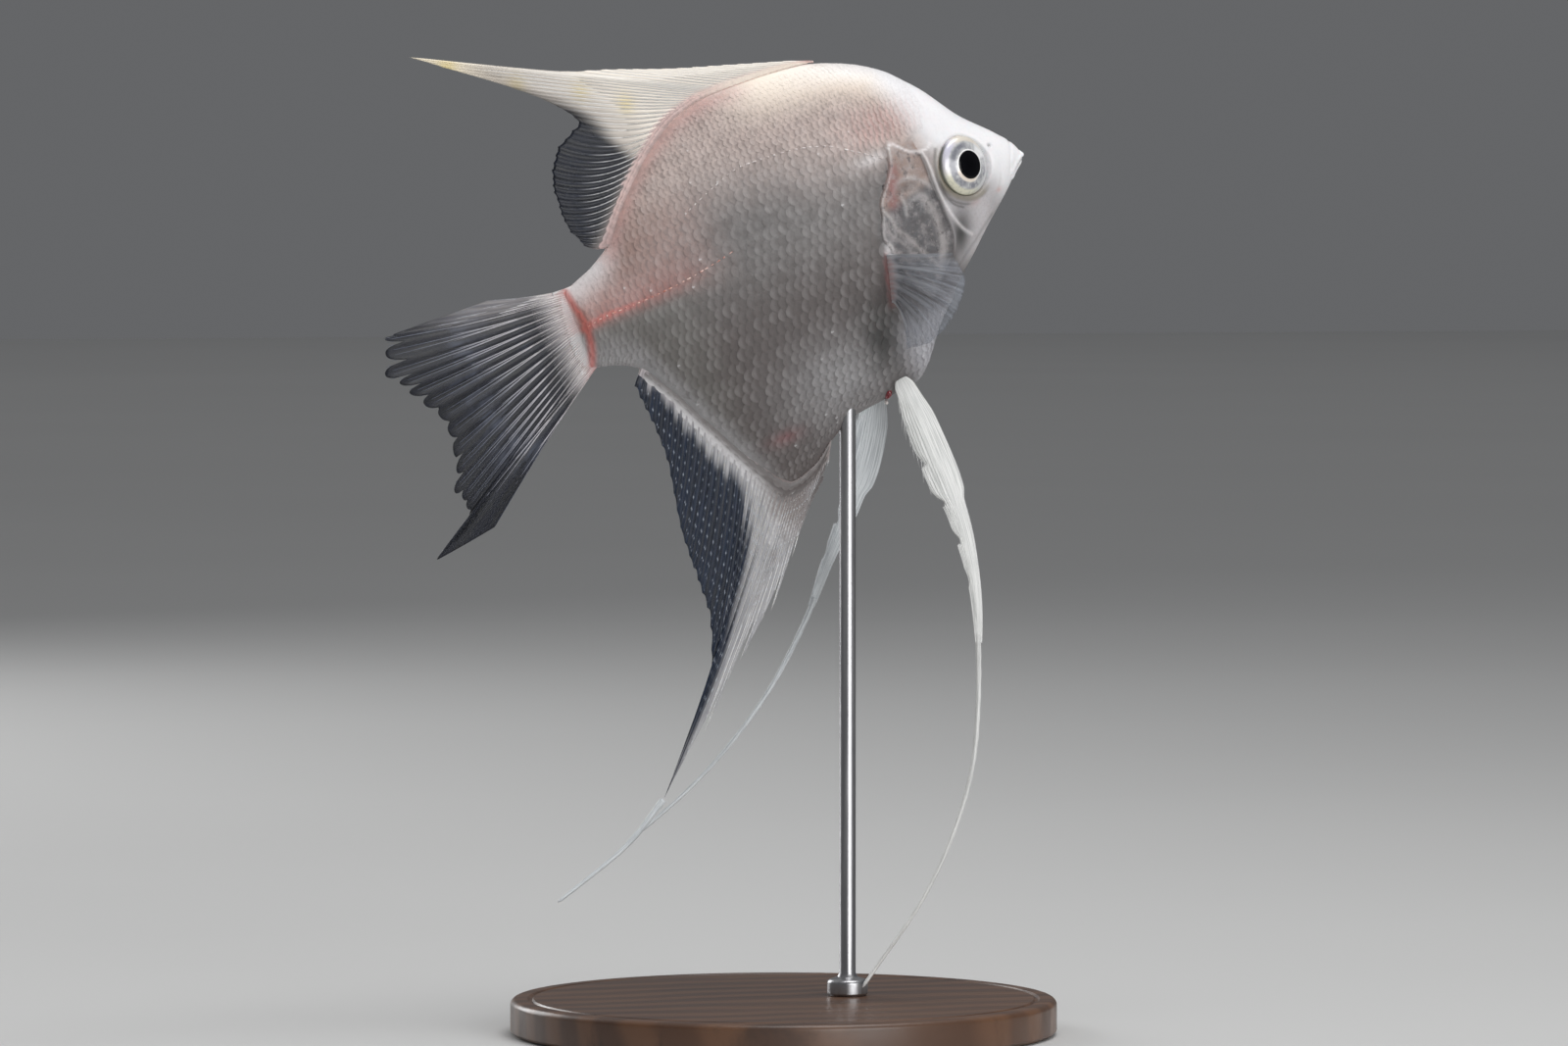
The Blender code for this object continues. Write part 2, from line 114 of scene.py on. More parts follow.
def spot(back, up, middle, width, height):
    """A soft round mark on the fish's side."""
    return hump(np.hypot((back - middle[0]) / width, (up - middle[1]) / height), 1.0)


def between(ends, share):
    return ends[0] + share * (ends[1] - ends[0])


def most(*values):
    """The largest of the values at each place."""
    return np.maximum.reduce(np.broadcast_arrays(*values))


def scatter(*numbers):
    """A fixed stand-in for chance: a number from 0 to 1 for each whole-number label."""
    mixed = sum(np.asarray(number) * factor for number, factor in zip(numbers, (12.9898, 78.233, 37.719)))
    return np.modf(np.abs(np.sin(mixed + 1.7) * 43758.5453))[0]


def track(points):
    """A smooth line through places by distance along it, and its length."""
    points = np.array(points, float)
    along = np.concatenate([[0.0], np.cumsum(np.linalg.norm(np.diff(points, axis=0), axis=1))])
    axes = [smooth(*zip(along, column)) for column in points.T]
    return lambda distance: np.stack([axis(distance) for axis in axes], -1), along[-1]


class Line:
    """A curve drawn on the fish's side through (back, up) knots."""

    def __init__(self, *knots):
        self.path, self.length = track(knots)
        self.points = self.at(np.linspace(0, 1, 24))

    def at(self, share):
        return self.path(np.asarray(share) * self.length)

    def near(self, back, up, within=FAR):
        """Each place's distance from the curve, positive to its left. Past within it is only far."""
        places = np.stack(np.broadcast_arrays(back, up), -1)
        low, high = self.points.min(axis=0) - within, self.points.max(axis=0) + within
        close = ((places > low) & (places < high)).all(axis=-1)
        there = places[close]
        found = np.full(len(there), FAR)
        for origin, step in zip(self.points[:-1], np.diff(self.points, axis=0)):
            offset = there - origin
            t = np.clip(offset @ step / (step @ step), 0, 1)
            distance = np.hypot(*(offset - t[:, None] * step).T)
            turn = step[0] * offset[:, 1] - step[1] * offset[:, 0]
            found = np.where(distance < np.abs(found), np.copysign(distance, turn), found)
        signed = np.full(close.shape, FAR)
        signed[close] = found
        return signed

    def band(self, back, up, width):
        """A soft stroke along the curve."""
        return hump(self.near(back, up, 3.5 * width), width)


# The body's outline and girth, as the solids have them

TOP = smooth(
    (0, 0.6), (0.35, 1.7), (2.6, 4.4), (7.3, 9.0), (11.6, 14.7), (16.2, 19.4), (21.5, 22.4),
    (27.1, 24.2), (35, 25.0), (42.3, 25.2), (48.4, 24.1), (53.5, 21.3), (57.6, 17.9), (61.5, 14.0),
    (65, 9.9), (68.2, 8.2), (72, 6.8),
)
BOTTOM = smooth(
    (0, -0.6), (0.35, -1.0), (1.8, -2.1), (3.3, -3.6), (9.1, -8.4), (15.5, -14.2), (20.4, -18.9),
    (26.6, -25.4), (32.5, -26.1), (38, -26.7), (42, -28.6), (47, -31.8), (50.6, -32.6), (54.8, -28.0),
    (59.4, -19.9), (63.5, -12.4), (66.5, -8.2), (69.9, -6.6), (72, -6.0),
)
HALF_WIDTH = smooth(
    (0, 1.0), (1.2, 1.8), (3, 2.9), (6, 4.1), (10, 5.2), (15, 6.2), (20, 6.9), (28, 7.3), (36, 7.0),
    (45, 5.9), (55, 4.3), (62, 3.1), (68, 2.2), (72, 1.6),
)
WIDEST_UP = smooth((0, 0.0), (10, 0.5), (20, 0.5), (35, -1.0), (50, -2.5), (62, 0.5), (72, 0.4))
RIDGE = smooth((0, 0.5), (12, 0.52), (24, 0.6), (36, 0.72), (50, 0.8), (64, 0.72), (72, 0.6))
KEEL = smooth((0, 0.5), (15, 0.55), (28, 0.58), (38, 0.75), (50, 1.15), (60, 0.95), (72, 0.6))

# The gill cover's free edge: how far back it reaches at each height
COVER_EDGE = smooth(
    (-19, 15.5), (-17, 17.8), (-15, 20.6), (-12.5, 23.6), (-9, 25.5), (-6, 26.3), (-4.6, 26.5), (-3.4, 27.1),
    (-1.8, 26.9), (0, 26.1), (1.6, 25.8), (2.6, 25.3), (3.5, 24.5), (4.6, 23.6), (5.8, 22.7), (7, 22.1),
    (9.4, 21.5), (15, 20.0), (30, 18.0),
)

# Lines on the head, each from its upper or front end
GAPE = Line((-0.5, -0.3), (0.6, -0.7), (1.6, -1.35), (2.9, -2.2))
LIP_FOLD = Line((0.9, 2.9), (1.6, 1.6), (2.5, 0.1), (3.3, -1.9))
CHIN_FOLD = Line((3.3, -2.2), (2.9, -2.8), (2.2, -2.9), (1.5, -2.4))
CHEEK_FOLD = Line((4.6, 0.3), (4.9, -1.2), (6.0, -3.3), (8.2, -5.4))
ORBIT_FOLD = Line(
    (14.2, 6.2), (15.2, 4.2), (15.5, 2.2), (15.4, 0.4), (15.0, -1.2), (14.2, -2.5), (12.9, -3.4),
)
PREOPERCLE = Line(
    (16.4, 6.5), (16.1, 5.2), (16.1, 3.8), (16.2, 2.3), (16.1, 0.9), (15.9, -0.7), (15.6, -2.2), (15.2, -3.6),
    (14.6, -5.1), (13.7, -6.6), (12.6, -7.7),
)
COVER_FRONT = Line(
    (16.8, 6.2), (16.6, 4.6), (16.7, 2.5), (16.6, 0.7), (16.4, -1.2), (16.2, -3.2), (15.9, -4.8),
    (15.8, -6.4), (16.2, -8.2), (17.2, -10.0), (19.6, -12.4),
)
OPERCLE_ARC = Line(
    (23.0, 2.5), (22.5, 3.3), (21.8, 3.8), (20.8, 3.9), (19.7, 3.7), (18.7, 3.1), (17.9, 2.4), (17.1, 1.7),
)
COVER_LOW = Line(
    (25.4, 0.4), (24.8, -0.6), (24.6, -2.2), (23.3, -4.0), (21.7, -6.8), (19.6, -10.0), (17.2, -12.6),
)
THROAT = Line((16.6, -11.9), (14.7, -10.6), (13.1, -9.6), (10.6, -8.0), (8.0, -6.4))
COVER_TOP = Line(
    (21.4, 9.0), (20.7, 9.4), (20.0, 8.8), (18.7, 7.6), (17.7, 7.0), (16.5, 6.7), (15.6, 6.7), (14.6, 7.2),
)
PALE_BAND = Line(
    (19.3, 2.0), (18.6, 0.2), (18.1, -1.6), (17.8, -3.2), (17.7, -5.0), (18.0, -7.5), (18.9, -9.6),
)
GILL_STREAK = Line((21.4, 2.6), (21.9, 1.4), (21.8, 0.2), (22.1, -1.2))
RED_STREAK = Line((22.0, 5.8), (22.3, 4.7), (22.9, 3.6), (23.4, 2.4), (23.6, 1.2))
# Folds, grooves and ridges along them: how far each stands out, and its width
HEAD_STROKES = (
    (LIP_FOLD, -0.13, 0.22), (CHIN_FOLD, -0.1, 0.22), (CHEEK_FOLD, -0.09, 0.35), (ORBIT_FOLD, -0.16, 0.22),
    (PREOPERCLE, 0.1, 0.3), (COVER_FRONT, -0.14, 0.28), (OPERCLE_ARC, 0.06, 0.3), (COVER_TOP, 0.12, 0.24),
    (GILL_STREAK, 0.03, 0.3), (THROAT, -0.12, 0.25),
)

# Lines on the flank
LATERAL_UPPER = Line(
    (22.6, 7.8), (26.5, 10.4), (30.6, 12.7), (36.4, 13.9), (42.6, 14.2), (48.3, 12.6), (53.6, 10.4),
)
LATERAL_LOWER = Line((48.6, 3.2), (51.7, 2.5), (58.0, 1.5), (62.9, 1.1), (69.3, 0.9), (72.4, 0.3))
TAIL_FORKS = Line((73.2, 6.2), (72.7, 3.4), (72.2, 0.6), (72.4, -2.2), (73.1, -5.2))

NOSTRIL = (5.3, 3.4)
PECTORAL_ROOT = (27.0, -5.4)
PECTORAL_ROOT_HEIGHT = 7.0


# Places


def offset_of(places):
    """Fish places as metres from the snout in the row's frame."""
    back, side, up = np.moveaxis(np.asarray(places, float), -1, 0)
    ahead = -back * math.cos(NOSE_UP) - up * math.sin(NOSE_UP)
    high = -back * math.sin(NOSE_UP) + up * math.cos(NOSE_UP)
    return np.stack([ahead, side, high], -1) * MM


def eyes_middle():
    corners = [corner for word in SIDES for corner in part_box(f"eye_{word}")]
    return np.mean([tuple(corner) for corner in corners], axis=0)


SNOUT = eyes_middle() - offset_of((EYE[0], 0.0, EYE[2]))


def to_row(places):
    return SNOUT + offset_of(places)


def unit(vectors):
    return vectors / np.maximum(np.linalg.norm(vectors, axis=-1, keepdims=True), 1e-12)


def inset(back):
    """How far the skin lies inside the solids, to leave room for the scales."""
    return COAT * ramp(back, 11.5, 14.5)


def ring_at(back, angle, grow=0.0):
    """The body's section at one distance back: narrow at the ridge and keel, wide between."""
    rise, across = np.sin(angle), np.cos(angle)
    middle = WIDEST_UP(back)
    reach = grow + np.where(rise > 0, TOP(back) - middle, middle - BOTTOM(back))
    sharpness = np.where(rise > 0, RIDGE(back), KEEL(back))
    out = (HALF_WIDTH(back) + grow) * np.abs(across) ** (2 * sharpness)
    return np.stack([back + 0 * angle, np.copysign(out, across), middle + reach * rise], -1)


def half_width_at(back, up):
    """How far the flank stands out from the midplane."""
    middle = WIDEST_UP(back)
    edge = np.where(up > middle, TOP(back), BOTTOM(back))
    sharpness = np.where(up > middle, RIDGE(back), KEEL(back))
    share = np.clip((up - middle) / (edge - middle), 0, 1)
    return HALF_WIDTH(back) * (1 - share**2) ** sharpness


def behind_pectoral(back, up):
    """How far places are behind the line of the pectoral fin's root."""
    return back - PECTORAL_ROOT[0] - 0.2 * (PECTORAL_ROOT[1] - up)


def tail_pinch(back):
    """The skin thins to an edge over the root of the tail fin."""
    return 1 - 0.85 * ramp(back, LENGTH - 0.5, LENGTH + TAIL_WRAP)


def surface_frame(at, first, second, reach):
    """A surface's places and its normals there, from the function of its places by two numbers."""
    run = at(first + reach, second) - at(first - reach, second)
    climb = at(first, second + reach) - at(first, second - reach)
    return at(first, second), unit(np.cross(climb, run))


class Chart:
    """The left side of the skin, unrolled: a place by its distance back and its girth, which is the way up
    the skin from the axis."""

    def __init__(self):
        self.backs = np.linspace(SCALES_FROM - 3, LENGTH, 265)
        self.girths = np.linspace(-GIRTH, GIRTH, 369)
        self.pitches = (self.backs[1] - self.backs[0], self.girths[1] - self.girths[0])
        angle = np.linspace(-TAU / 4, TAU / 4, 501)
        outs, ups, ends = [], [], []
        for back in self.backs:
            _, out, up = ring_at(back, angle, -inset(back)).T
            girth = np.concatenate([[0.0], np.cumsum(np.hypot(np.diff(out), np.diff(up)))])
            girth -= np.interp(0.0, up, girth)
            outs.append(np.interp(self.girths, girth, out))
            ups.append(np.interp(self.girths, girth, up))
            ends.append((girth[0], girth[-1]))
        self.outs, self.ups, self.ends = np.array(outs), np.array(ups), np.array(ends)

    def at(self, back, girth):
        """Fish places on the left side's skin."""
        row = np.clip((back - self.backs[0]) / self.pitches[0], 0, len(self.backs) - 1.001)
        column = np.clip((girth + GIRTH) / self.pitches[1], 0, len(self.girths) - 1.001)
        i, j = row.astype(int), column.astype(int)
        a, b = row - i, column - j

        def read(table):
            low = table[i, j] * (1 - b) + table[i, j + 1] * b
            high = table[i + 1, j] * (1 - b) + table[i + 1, j + 1] * b
            return low * (1 - a) + high * a

        return np.stack([back, read(self.outs) * tail_pinch(back), read(self.ups)], -1)

    def frame(self, back, girth):
        return surface_frame(self.at, back, girth, 0.3)

    def limits(self, back):
        """The girths at the keel and at the ridge."""
        return [np.interp(back, self.backs, end) for end in self.ends.T]

    def girth_of(self, back, up):
        """The girths at heights."""
        rows = np.minimum((back - self.backs[0]) / self.pitches[0], len(self.backs) - 1).astype(int)
        found = [np.interp(height, self.ups[row], self.girths) for row, height in zip(rows.flat, up.flat)]
        return np.reshape(found, back.shape)


# Meshes


def grid_faces(rows, columns, start=0, around=False):
    """Faces between points in rows, one row after another; around joins each row's ends."""
    row = np.arange(rows - 1)[:, None] * columns
    column = np.arange(columns if around else columns - 1)[None, :]
    following = (column + 1) % columns
    corners = (row + column, row + following, row + columns + following, row + columns + column)
    return start + np.stack(corners, -1).reshape(-1, 4)


def tube_faces(rows, around, start=0):
    """Faces of rows of points joined round, with one face over each end."""
    ring = list(range(start, start + around))
    far = [point + (rows - 1) * around for point in ring]
    return [*grid_faces(rows, around, start, around=True).tolist(), ring[::-1], far]


def grid_normals(grid):
    return unit(np.cross(np.gradient(grid, axis=1), np.gradient(grid, axis=0)))


def slab_faces(rows, columns):
    """Faces of a closed sheet whose front and back are grids of points."""
    count = rows * columns
    front = grid_faces(rows, columns)
    index = np.arange(count).reshape(rows, columns)
    edge = np.concatenate([index[0], index[1:, -1], index[-1, -2::-1], index[-2:0:-1, 0]])
    following = np.roll(edge, -1)
    rim = np.stack([edge, edge + count, following + count, following], -1)
    return np.concatenate([front, front[:, ::-1] + count, rim])


def sheet(middle, thickness, **marks):
    """A closed sheet about a grid of places, as thick at each as thickness says, with marks on both faces."""
    half = np.asarray(thickness)[..., None] / 2 * grid_normals(middle)
    places = np.concatenate([(middle + half).reshape(-1, 3), (middle - half).reshape(-1, 3)])
    shape = middle.shape[:2]
    marks = {word: np.tile(np.broadcast_to(value, shape).ravel(), 2) for word, value in marks.items()}
    return places, slab_faces(*shape), marks


def tubes(paths, radii, sides=5, across=(0, 1, 0), flatness=1.0, **marks):
    """Closed tubes along paths (tubes, steps, 3), with marks by tube and step.

    flatness is their depth along across by their width."""
    run = unit(np.gradient(paths, axis=1))
    first = unit(np.cross(run, np.broadcast_to(across, run.shape)))
    second = flatness * np.cross(run, first)
    angle = TAU * np.arange(sides)[:, None] / sides
    ring = first[:, :, None] * np.cos(angle) + second[:, :, None] * np.sin(angle)
    places = paths[:, :, None] + radii[:, :, None, None] * ring
    count, steps = paths.shape[:2]
    faces = [face for tube in range(count) for face in tube_faces(steps, sides, tube * steps * sides)]
    marks = {word: np.repeat(np.broadcast_to(value, (count, steps)), sides) for word, value in marks.items()}
    return places.reshape(-1, 3), faces, marks


def new_mesh(name, points, faces, finish, crease=None):
    mesh = bpy.data.meshes.new(name)
    mesh.from_pydata(points.tolist(), [], faces)
    mesh.shade_smooth()
    if crease:
        mesh.set_sharp_from_angle(angle=math.radians(crease))
    mesh.materials.append(finish)
    return mesh


def placed(name, data):
    """A new object in the scene."""
    obj = bpy.data.objects.new(name, data)
    bpy.context.scene.collection.objects.link(obj)
    return obj


def add_object(name, mesh):
    obj = placed(name, mesh)
    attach(obj, BODY)
    return obj


def piece(name, built, finish, patches=None, crease=None):
    """A mesh piece of the fish, built as its places, its faces and the marks at its points.

    patches is its OFBake map, and crease the least angle of its sharp edges."""
    places, faces, marks = built
    faces = faces.tolist() if isinstance(faces, np.ndarray) else faces
    mesh = new_mesh(name, to_row(places), [face[::-1] for face in faces], finish, crease)
    for word, values in {"fish": places, **marks}.items():
        kind = ("FLOAT_VECTOR", "vector") if np.ndim(values) == 2 else ("FLOAT", "value")
        made = mesh.attributes.new(word, kind[0], "POINT")
        made.data.foreach_set(kind[1], np.ravel(values).astype(np.float32))
    if patches is not None:
        corners = np.empty(len(mesh.loops), np.int32)
        mesh.loops.foreach_get("vertex_index", corners)
        layer = mesh.uv_layers.new(name="OFBake")
        layer.data.foreach_set("uv", patches[corners].astype(np.float32).ravel())
    return add_object(name, mesh)


# Materials


def srgb(red, green, blue):
    """A screen colour from 0 to 255, as Blender's linear RGBA."""
    share = np.array([red, green, blue]) / 255
    linear = np.where(share <= 0.04045, share / 12.92, ((share + 0.055) / 1.055) ** 2.4)
    return (*linear.tolist(), 1.0)


class Value:
    """A node's output in a material, with ways to reckon with it."""

    def __init__(self, finish, socket):
        self.finish, self.socket = finish, socket

    def __mul__(self, other):
        return self.finish.math("MULTIPLY", self, other)

    def __add__(self, other):
        return self.finish.math("ADD", self, other)

    def __sub__(self, other):
        return self.finish.math("SUBTRACT", self, other)

    def __abs__(self):
        return self.finish.math("ABSOLUTE", self)

    def larger(self, other):
        return self.finish.math("MAXIMUM", self, other)

    def to(self, low, high, start=0.0, end=1.0):
        """Its way from low to high, as a number from start to end."""
        inputs = dict(enumerate((self, low, high, start, end)))
        return self.finish.node("MapRange", inputs, interpolation_type="SMOOTHSTEP")


class Finish:
    """A material and short ways to add nodes to it."""

    def __init__(self, name, **settings):
        self.material = bpy.data.materials.new(name)
        self.material.use_nodes = True
        self.tree = self.material.node_tree
        self.shader = self.tree.nodes["Principled BSDF"]
        for word, value in settings.items():
            self.shader.inputs[word.replace("_", " ")].default_value = value

    def put(self, value, socket):
        """Gives a socket a number, a screen colour or another node's output."""
        if isinstance(value, Value):
            self.tree.links.new(value.socket, socket)
        else:
            is_colour = isinstance(value, tuple) and len(value) == 3
            socket.default_value = srgb(*value) if is_colour else value

    def node(self, kind, inputs, output=0, **settings):
        """One output of a new node."""
        made = self.tree.nodes.new(f"ShaderNode{kind}")
        for word, value in settings.items():
            setattr(made, word, value)
        for word, value in inputs.items():
            self.put(value, made.inputs[word])
        return Value(self, made.outputs[output])

    def mark(self, word):
        return self.node("Attribute", {}, "Fac", attribute_name=word)

    def place(self, word="fish"):
        return self.node("Attribute", {}, "Vector", attribute_name=word)

    def math(self, operation, *values):
        return self.node("Math", dict(enumerate(values)), operation=operation)

    def mix(self, share, first, second):
        return self.node("Mix", {0: share, 6: first, 7: second}, 2, data_type="RGBA")

    def layers(self, colour, *layers):
        """A colour with others laid on it, each as strongly as its share says."""
        for share, ink in layers:
            colour = self.mix(share, colour, ink)
        return colour

    def stretched(self, place, *stretch):
        return self.node("Mapping", {"Vector": place, "Scale": Vector(stretch)})

    def noise(self, scale, detail=3.0, roughness=0.55, place=None):
        inputs = {"Vector": place or self.place(), "Scale": scale, "Detail": detail, "Roughness": roughness}
        return self.node("TexNoise", inputs, "Fac")

    def cells(self, scale):
        return self.node("TexVoronoi", {"Vector": self.place(), "Scale": scale}, "Distance")

    def bump(self, height, depth, strength=1.0, **normal):
        """A bump whose full height stands depth metres high."""
        return self.node("Bump", {"Strength": strength, "Distance": depth, "Height": height, **normal})

    def wear(self, colour, roughness, normal=None, alpha=None):
        """Gives the shader what was made, and returns the material."""
        given = {"Base Color": colour, "Roughness": roughness, "Normal": normal, "Alpha": alpha}
        for word, value in given.items():
            if value is not None:
                self.put(value, self.shader.inputs[word])
        return self.material


def glossy_finish(name, low, high, coat=(0.5, 0.12), grain=1.4, smoothest=0.28):
    """A wet surface, clouded from one colour to another."""
    finish = Finish(name, Coat_Weight=coat[0], Coat_Roughness=coat[1])
    shade = finish.noise(grain).to(0.35, 0.65)
    return finish.wear(finish.mix(shade, low, high), shade.to(0.0, 1.0, smoothest, 0.4))


# The markings that skin and scales share: each mark's colour, in the order they are laid on

# The flank's own grey-brown, painted darker as the silvered mid flank looks when it mirrors dark surroundings
FLANK = (84, 77, 75)
MARKS = {
    # upper: the upper flank's own paler pinkish tone, lightened further by painted light from above
    "upper": (200, 182, 175),
    "rear": (152, 112, 101),
    "lower_rear": (104, 102, 98),
    "belly": (146, 145, 146),
    "breast": (180, 180, 186),
    "cream": (246, 232, 216),
    "white": (240, 239, 241),
    "cheek": (198, 194, 196),
    "gill_brown": (158, 137, 128),
    "gill_grey": (98, 98, 101),
    "gill_pale": (186, 180, 178),
    "pink": (206, 160, 154),
    "red": (192, 84, 72),
    "blood": (150, 60, 66),
    "olive": (128, 121, 104),
    # shade: painted shade under and between the fins, on the mid flank and on the cheek
    "shade": (42, 44, 42),
    # dark: mostly painted shade in grooves, pits and gaps, with a grey patch on the gill cover and the anal
    # sheath's dark spots
    "dark": (78, 76, 76),
    "bright": (246, 242, 243),
}
MOTTLED = ("upper", "rear", "gill_brown", "gill_grey", "gill_pale", "pink", "blood")


def eye_ring(back, side, up):
    """A place's distance from the eye's axis, and how far it is above and behind the eye's middle."""
    behind = (back - EYE[0]) * math.cos(EYE_TURN) + (np.abs(side) - EYE[1]) * math.sin(EYE_TURN)
    return np.hypot(behind, up - EYE[2]), up - EYE[2], behind


# Where painted light from above starts to lighten the upper flank, and where it is full, by distance back
LIGHT_FROM = smooth(
    (18, 0.0), (25, 3.5), (33, 2.0), (41, 5.0), (49, 5.5), (57, 0.5), (65, -1.0), (76, -5.0),
)
LIGHT_FULL = smooth(
    (18, 11.0), (25, 12.5), (33, 17.0), (41, 19.5), (49, 19.5), (57, 15.0), (65, 9.5), (76, 7.0),
)


def flank_marks(back, up):
    """How strongly each mark of the scaled body shows."""
    at = partial(spot, back, up)
    from_ridge = TOP(back) - up
    brow = ramp(back + 0.3 * (7 - up), 18.5, 12.5) * ramp(up, 3.5, 7.5)
    face = ramp(back - 0.5 * (up + 2), 12.0, 4.0)
    crown = 0.8 * ramp(from_ridge, 4.5, 0.5) * ramp(back, 36, 18)
    stalk = most(0.7 * ramp(from_ridge, 5.0, 0.4) * ramp(back, 61, 68), 0.75 * ramp(back, 72.8, 73.8))
    streaks = hump(np.mod(back + 0.1 * up + 0.2 * np.sin(up * 1.7), 0.95) - 0.47, 0.2)
    over_gill = at((21.5, 12.4), 5.5, 3.0) * ramp(up, 9.0, 10.6) * (0.25 + 0.6 * streaks)
    sheath = 0.6 * hump(from_ridge - 0.7, 1.5) * ramp(back, 35, 41) * ramp(back, 68, 64)
    slant = behind_pectoral(back, up)
    beside_root = ramp(up, -4.2, -5.4) * ramp(up, -13.8, -12.2)
    lower = LATERAL_LOWER.near(back, up, 6.0)
    glow = 0.28 * np.where(lower > 0, hump(lower, 3.6), hump(lower, 1.2)) * ramp(back, 50, 60)
    line = 0.85 * hump(lower / (0.3 + 0.45 * ramp(back, 62, 70)), 1.0) * ramp(back, 57, 66)
    fringe = 0.9 * ramp(up - BOTTOM(back), 7.0, 0.8) * ramp(back, 50, 56)
    # Painted shade in the pectoral fin's axil, between the pelvic fins' roots, and over the mid flank
    axil = 0.95 * at((31.3, -16.4), 3.3, 6.0)
    between_pelvics = 0.75 * at((29.9, -24.3), 1.9, 1.2)
    return {
        # The upper flank: its own paler tone with painted light from above, from LIGHT_FROM up to LIGHT_FULL
        "upper": ramp(up, LIGHT_FROM(back), LIGHT_FULL(back)),
        "rear": 0.62 * ramp(back, 46, 57) * ramp(up, -2.5, 2.5) * ramp(up, 17, 9),
        "lower_rear": 0.85 * ramp(up, 0.8, -1.2) * ramp(back, 52, 60),
        "belly": most(at((38.5, -20.5), 9.5, 6.5), fringe),
        "breast": ramp(back - 0.35 * up, 39.0, 32.0) * ramp(up, -13.5, -18),
        "cream": ramp(from_ridge, 8.5, 1.0) * ramp(back, 46, 33),
        "white": most(brow, face, crown, stalk),
        "pink": most(over_gill, sheath, 0.5 * hump(slant, 0.45) * beside_root),
        "red": most(line, glow, 0.8 * TAIL_FORKS.band(back, up, 0.55)),
        # The second part of blood is a painted shadow: a dark red line in the groove behind the pectoral
        # fin's root
        "blood": most(0.35 * at((49.4, -25.5), 2.6, 1.1), 0.45 * hump(slant - 0.5, 0.25) * beside_root),
        "shade": most(axil, between_pelvics, 0.28 * at((43, 3.5), 17, 7)),
        "bright": most(0.55 * at((24.4, 8.3), 2.4, 0.8), 0.9 * at((26.7, -4.9), 0.6, 1.0)),
        # A painted shadow behind the top of the pectoral fin's root
        "dark": 0.8 * at((27.7, -4.9), 0.45, 1.0),
    }


def head_marks(back, side, up):
    """How strongly each mark of the bare head shows."""
    at = partial(spot, back, up)
    gill = back - COVER_EDGE(up)
    radius, eye_high, eye_behind = eye_ring(back, side, up)
    cover_front = COVER_FRONT.near(back, up)
    cover_low = COVER_LOW.near(back, up)
    on_head = ramp(gill, 0.15, -0.15) * ramp(up, 10.2, 9.4) * ramp(up, -19, -16.5)
    on_cover = on_head * ramp(cover_front, -0.25, 0.35) * ramp(up, 9.0, 8.0)
    over_slope = up + 0.2 * (back - 20)
    behind_band = 0.65 * hump(PALE_BAND.near(back, up, 5.0), 0.75) * ramp(up, 2.0, 0.0)
    low_line = 0.75 * hump(cover_low, 0.4)
    folds = 0.35 * hump(np.mod(np.abs(cover_low) - 0.4, 1.5) - 0.75, 0.28) * ramp(cover_low, 0.3, 1.0)
    arc = 0.75 * OPERCLE_ARC.band(back, up, 0.4)
    edge = 0.6 * hump(gill + 0.35, 0.34)
    strip = 0.35 * at((18.9, 5.6), 0.6, 1.6)
    streak = 0.55 * GILL_STREAK.band(back, up, 0.34)
    pale = most(behind_band, low_line, folds, arc, edge, strip, streak)
    # Painted shade in the head's gaps, grooves and pits, gathered as dark, with a grey patch on the gill
    # cover
    slit = 0.85 * hump(gill - 0.28, 0.3) * ramp(up, 8.5, 5.0) * ramp(up, -17, -14)
    behind_cheek = 0.65 * hump(cover_front - 0.05, 0.3) + 0.4 * hump(cover_front - 0.6, 0.7) * ramp(up, 2, -1)
    nostril = 0.6 * at(NOSTRIL, 0.32, 0.26)
    mouth = 0.55 * GAPE.band(back, up, 0.13) * ramp(back, 3.2, 1.5)
    orbit = 0.65 * ORBIT_FOLD.band(back, up, 0.16)
    under_eye = 0.6 * hump(radius - 5.65, 0.16) * ramp(-eye_high, 2.6, 3.6) * ramp(eye_behind, 0.6, 2.0)
    under_arc = 0.5 * at((20.6, 2.6), 1.5, 0.7) + 0.6 * at((20.7, 0.0), 0.9, 0.45)
    grey_patch = 0.4 * at((20.6, -3.2), 1.3, 2.2)
    patches = most(under_arc, grey_patch) * ramp(cover_front, 0.3, 1.0)
    throat = 0.35 * THROAT.band(back, up, 0.3)
    dark = most(slit, behind_cheek * ramp(up, 8.0, 6.0), nostril, mouth, orbit, under_eye, patches, throat)
    crest = 0.75 * COVER_TOP.band(back, up, 0.22)
    ridge = 0.55 * PREOPERCLE.band(back, up, 0.26)
    pearl = 0.5 * hump(radius - 4.95, 0.22) * ramp(eye_high - 0.4 * eye_behind, -1.5, 2.0)
    below_eye = ramp(up, 1.5, -3.0) * ramp(back, 4.0, 10.0)
    under_cheek = spot(back + 0.28 * (up + 6), up, (14.3, -6.9), 2.1, 4.0) * ramp(cover_front, -0.1, -0.5)
    return {
        "cheek": below_eye * ramp(up, -13.5, -9.5) * ramp(back, 17.2, 15.2),
        "gill_brown": on_cover * ramp(over_slope, 0.6, 2.4),
        "gill_grey": on_cover * ramp(over_slope, 2.2, 0.2),
        "gill_pale": pale * on_head * ramp(cover_front, -0.2, 0.6),
        "blood": 0.5 * RED_STREAK.band(back, up, 0.95) * on_head,
        "olive": 0.75 * ramp(radius, 5.6, 5.0) * ramp(eye_behind - 0.7 * eye_high, -0.8, 2.2),
        "shade": 0.93 * under_cheek,
        "dark": np.clip(dark, 0, 1) * ramp(gill, 1.2, 0.6),
        "bright": most(crest, ridge, pearl),
        "pink": 0.5 * at((6.1, -3.2), 0.6, 0.4) + 0.3 * at((11.0, -3.4), 1.0, 0.5),
    }


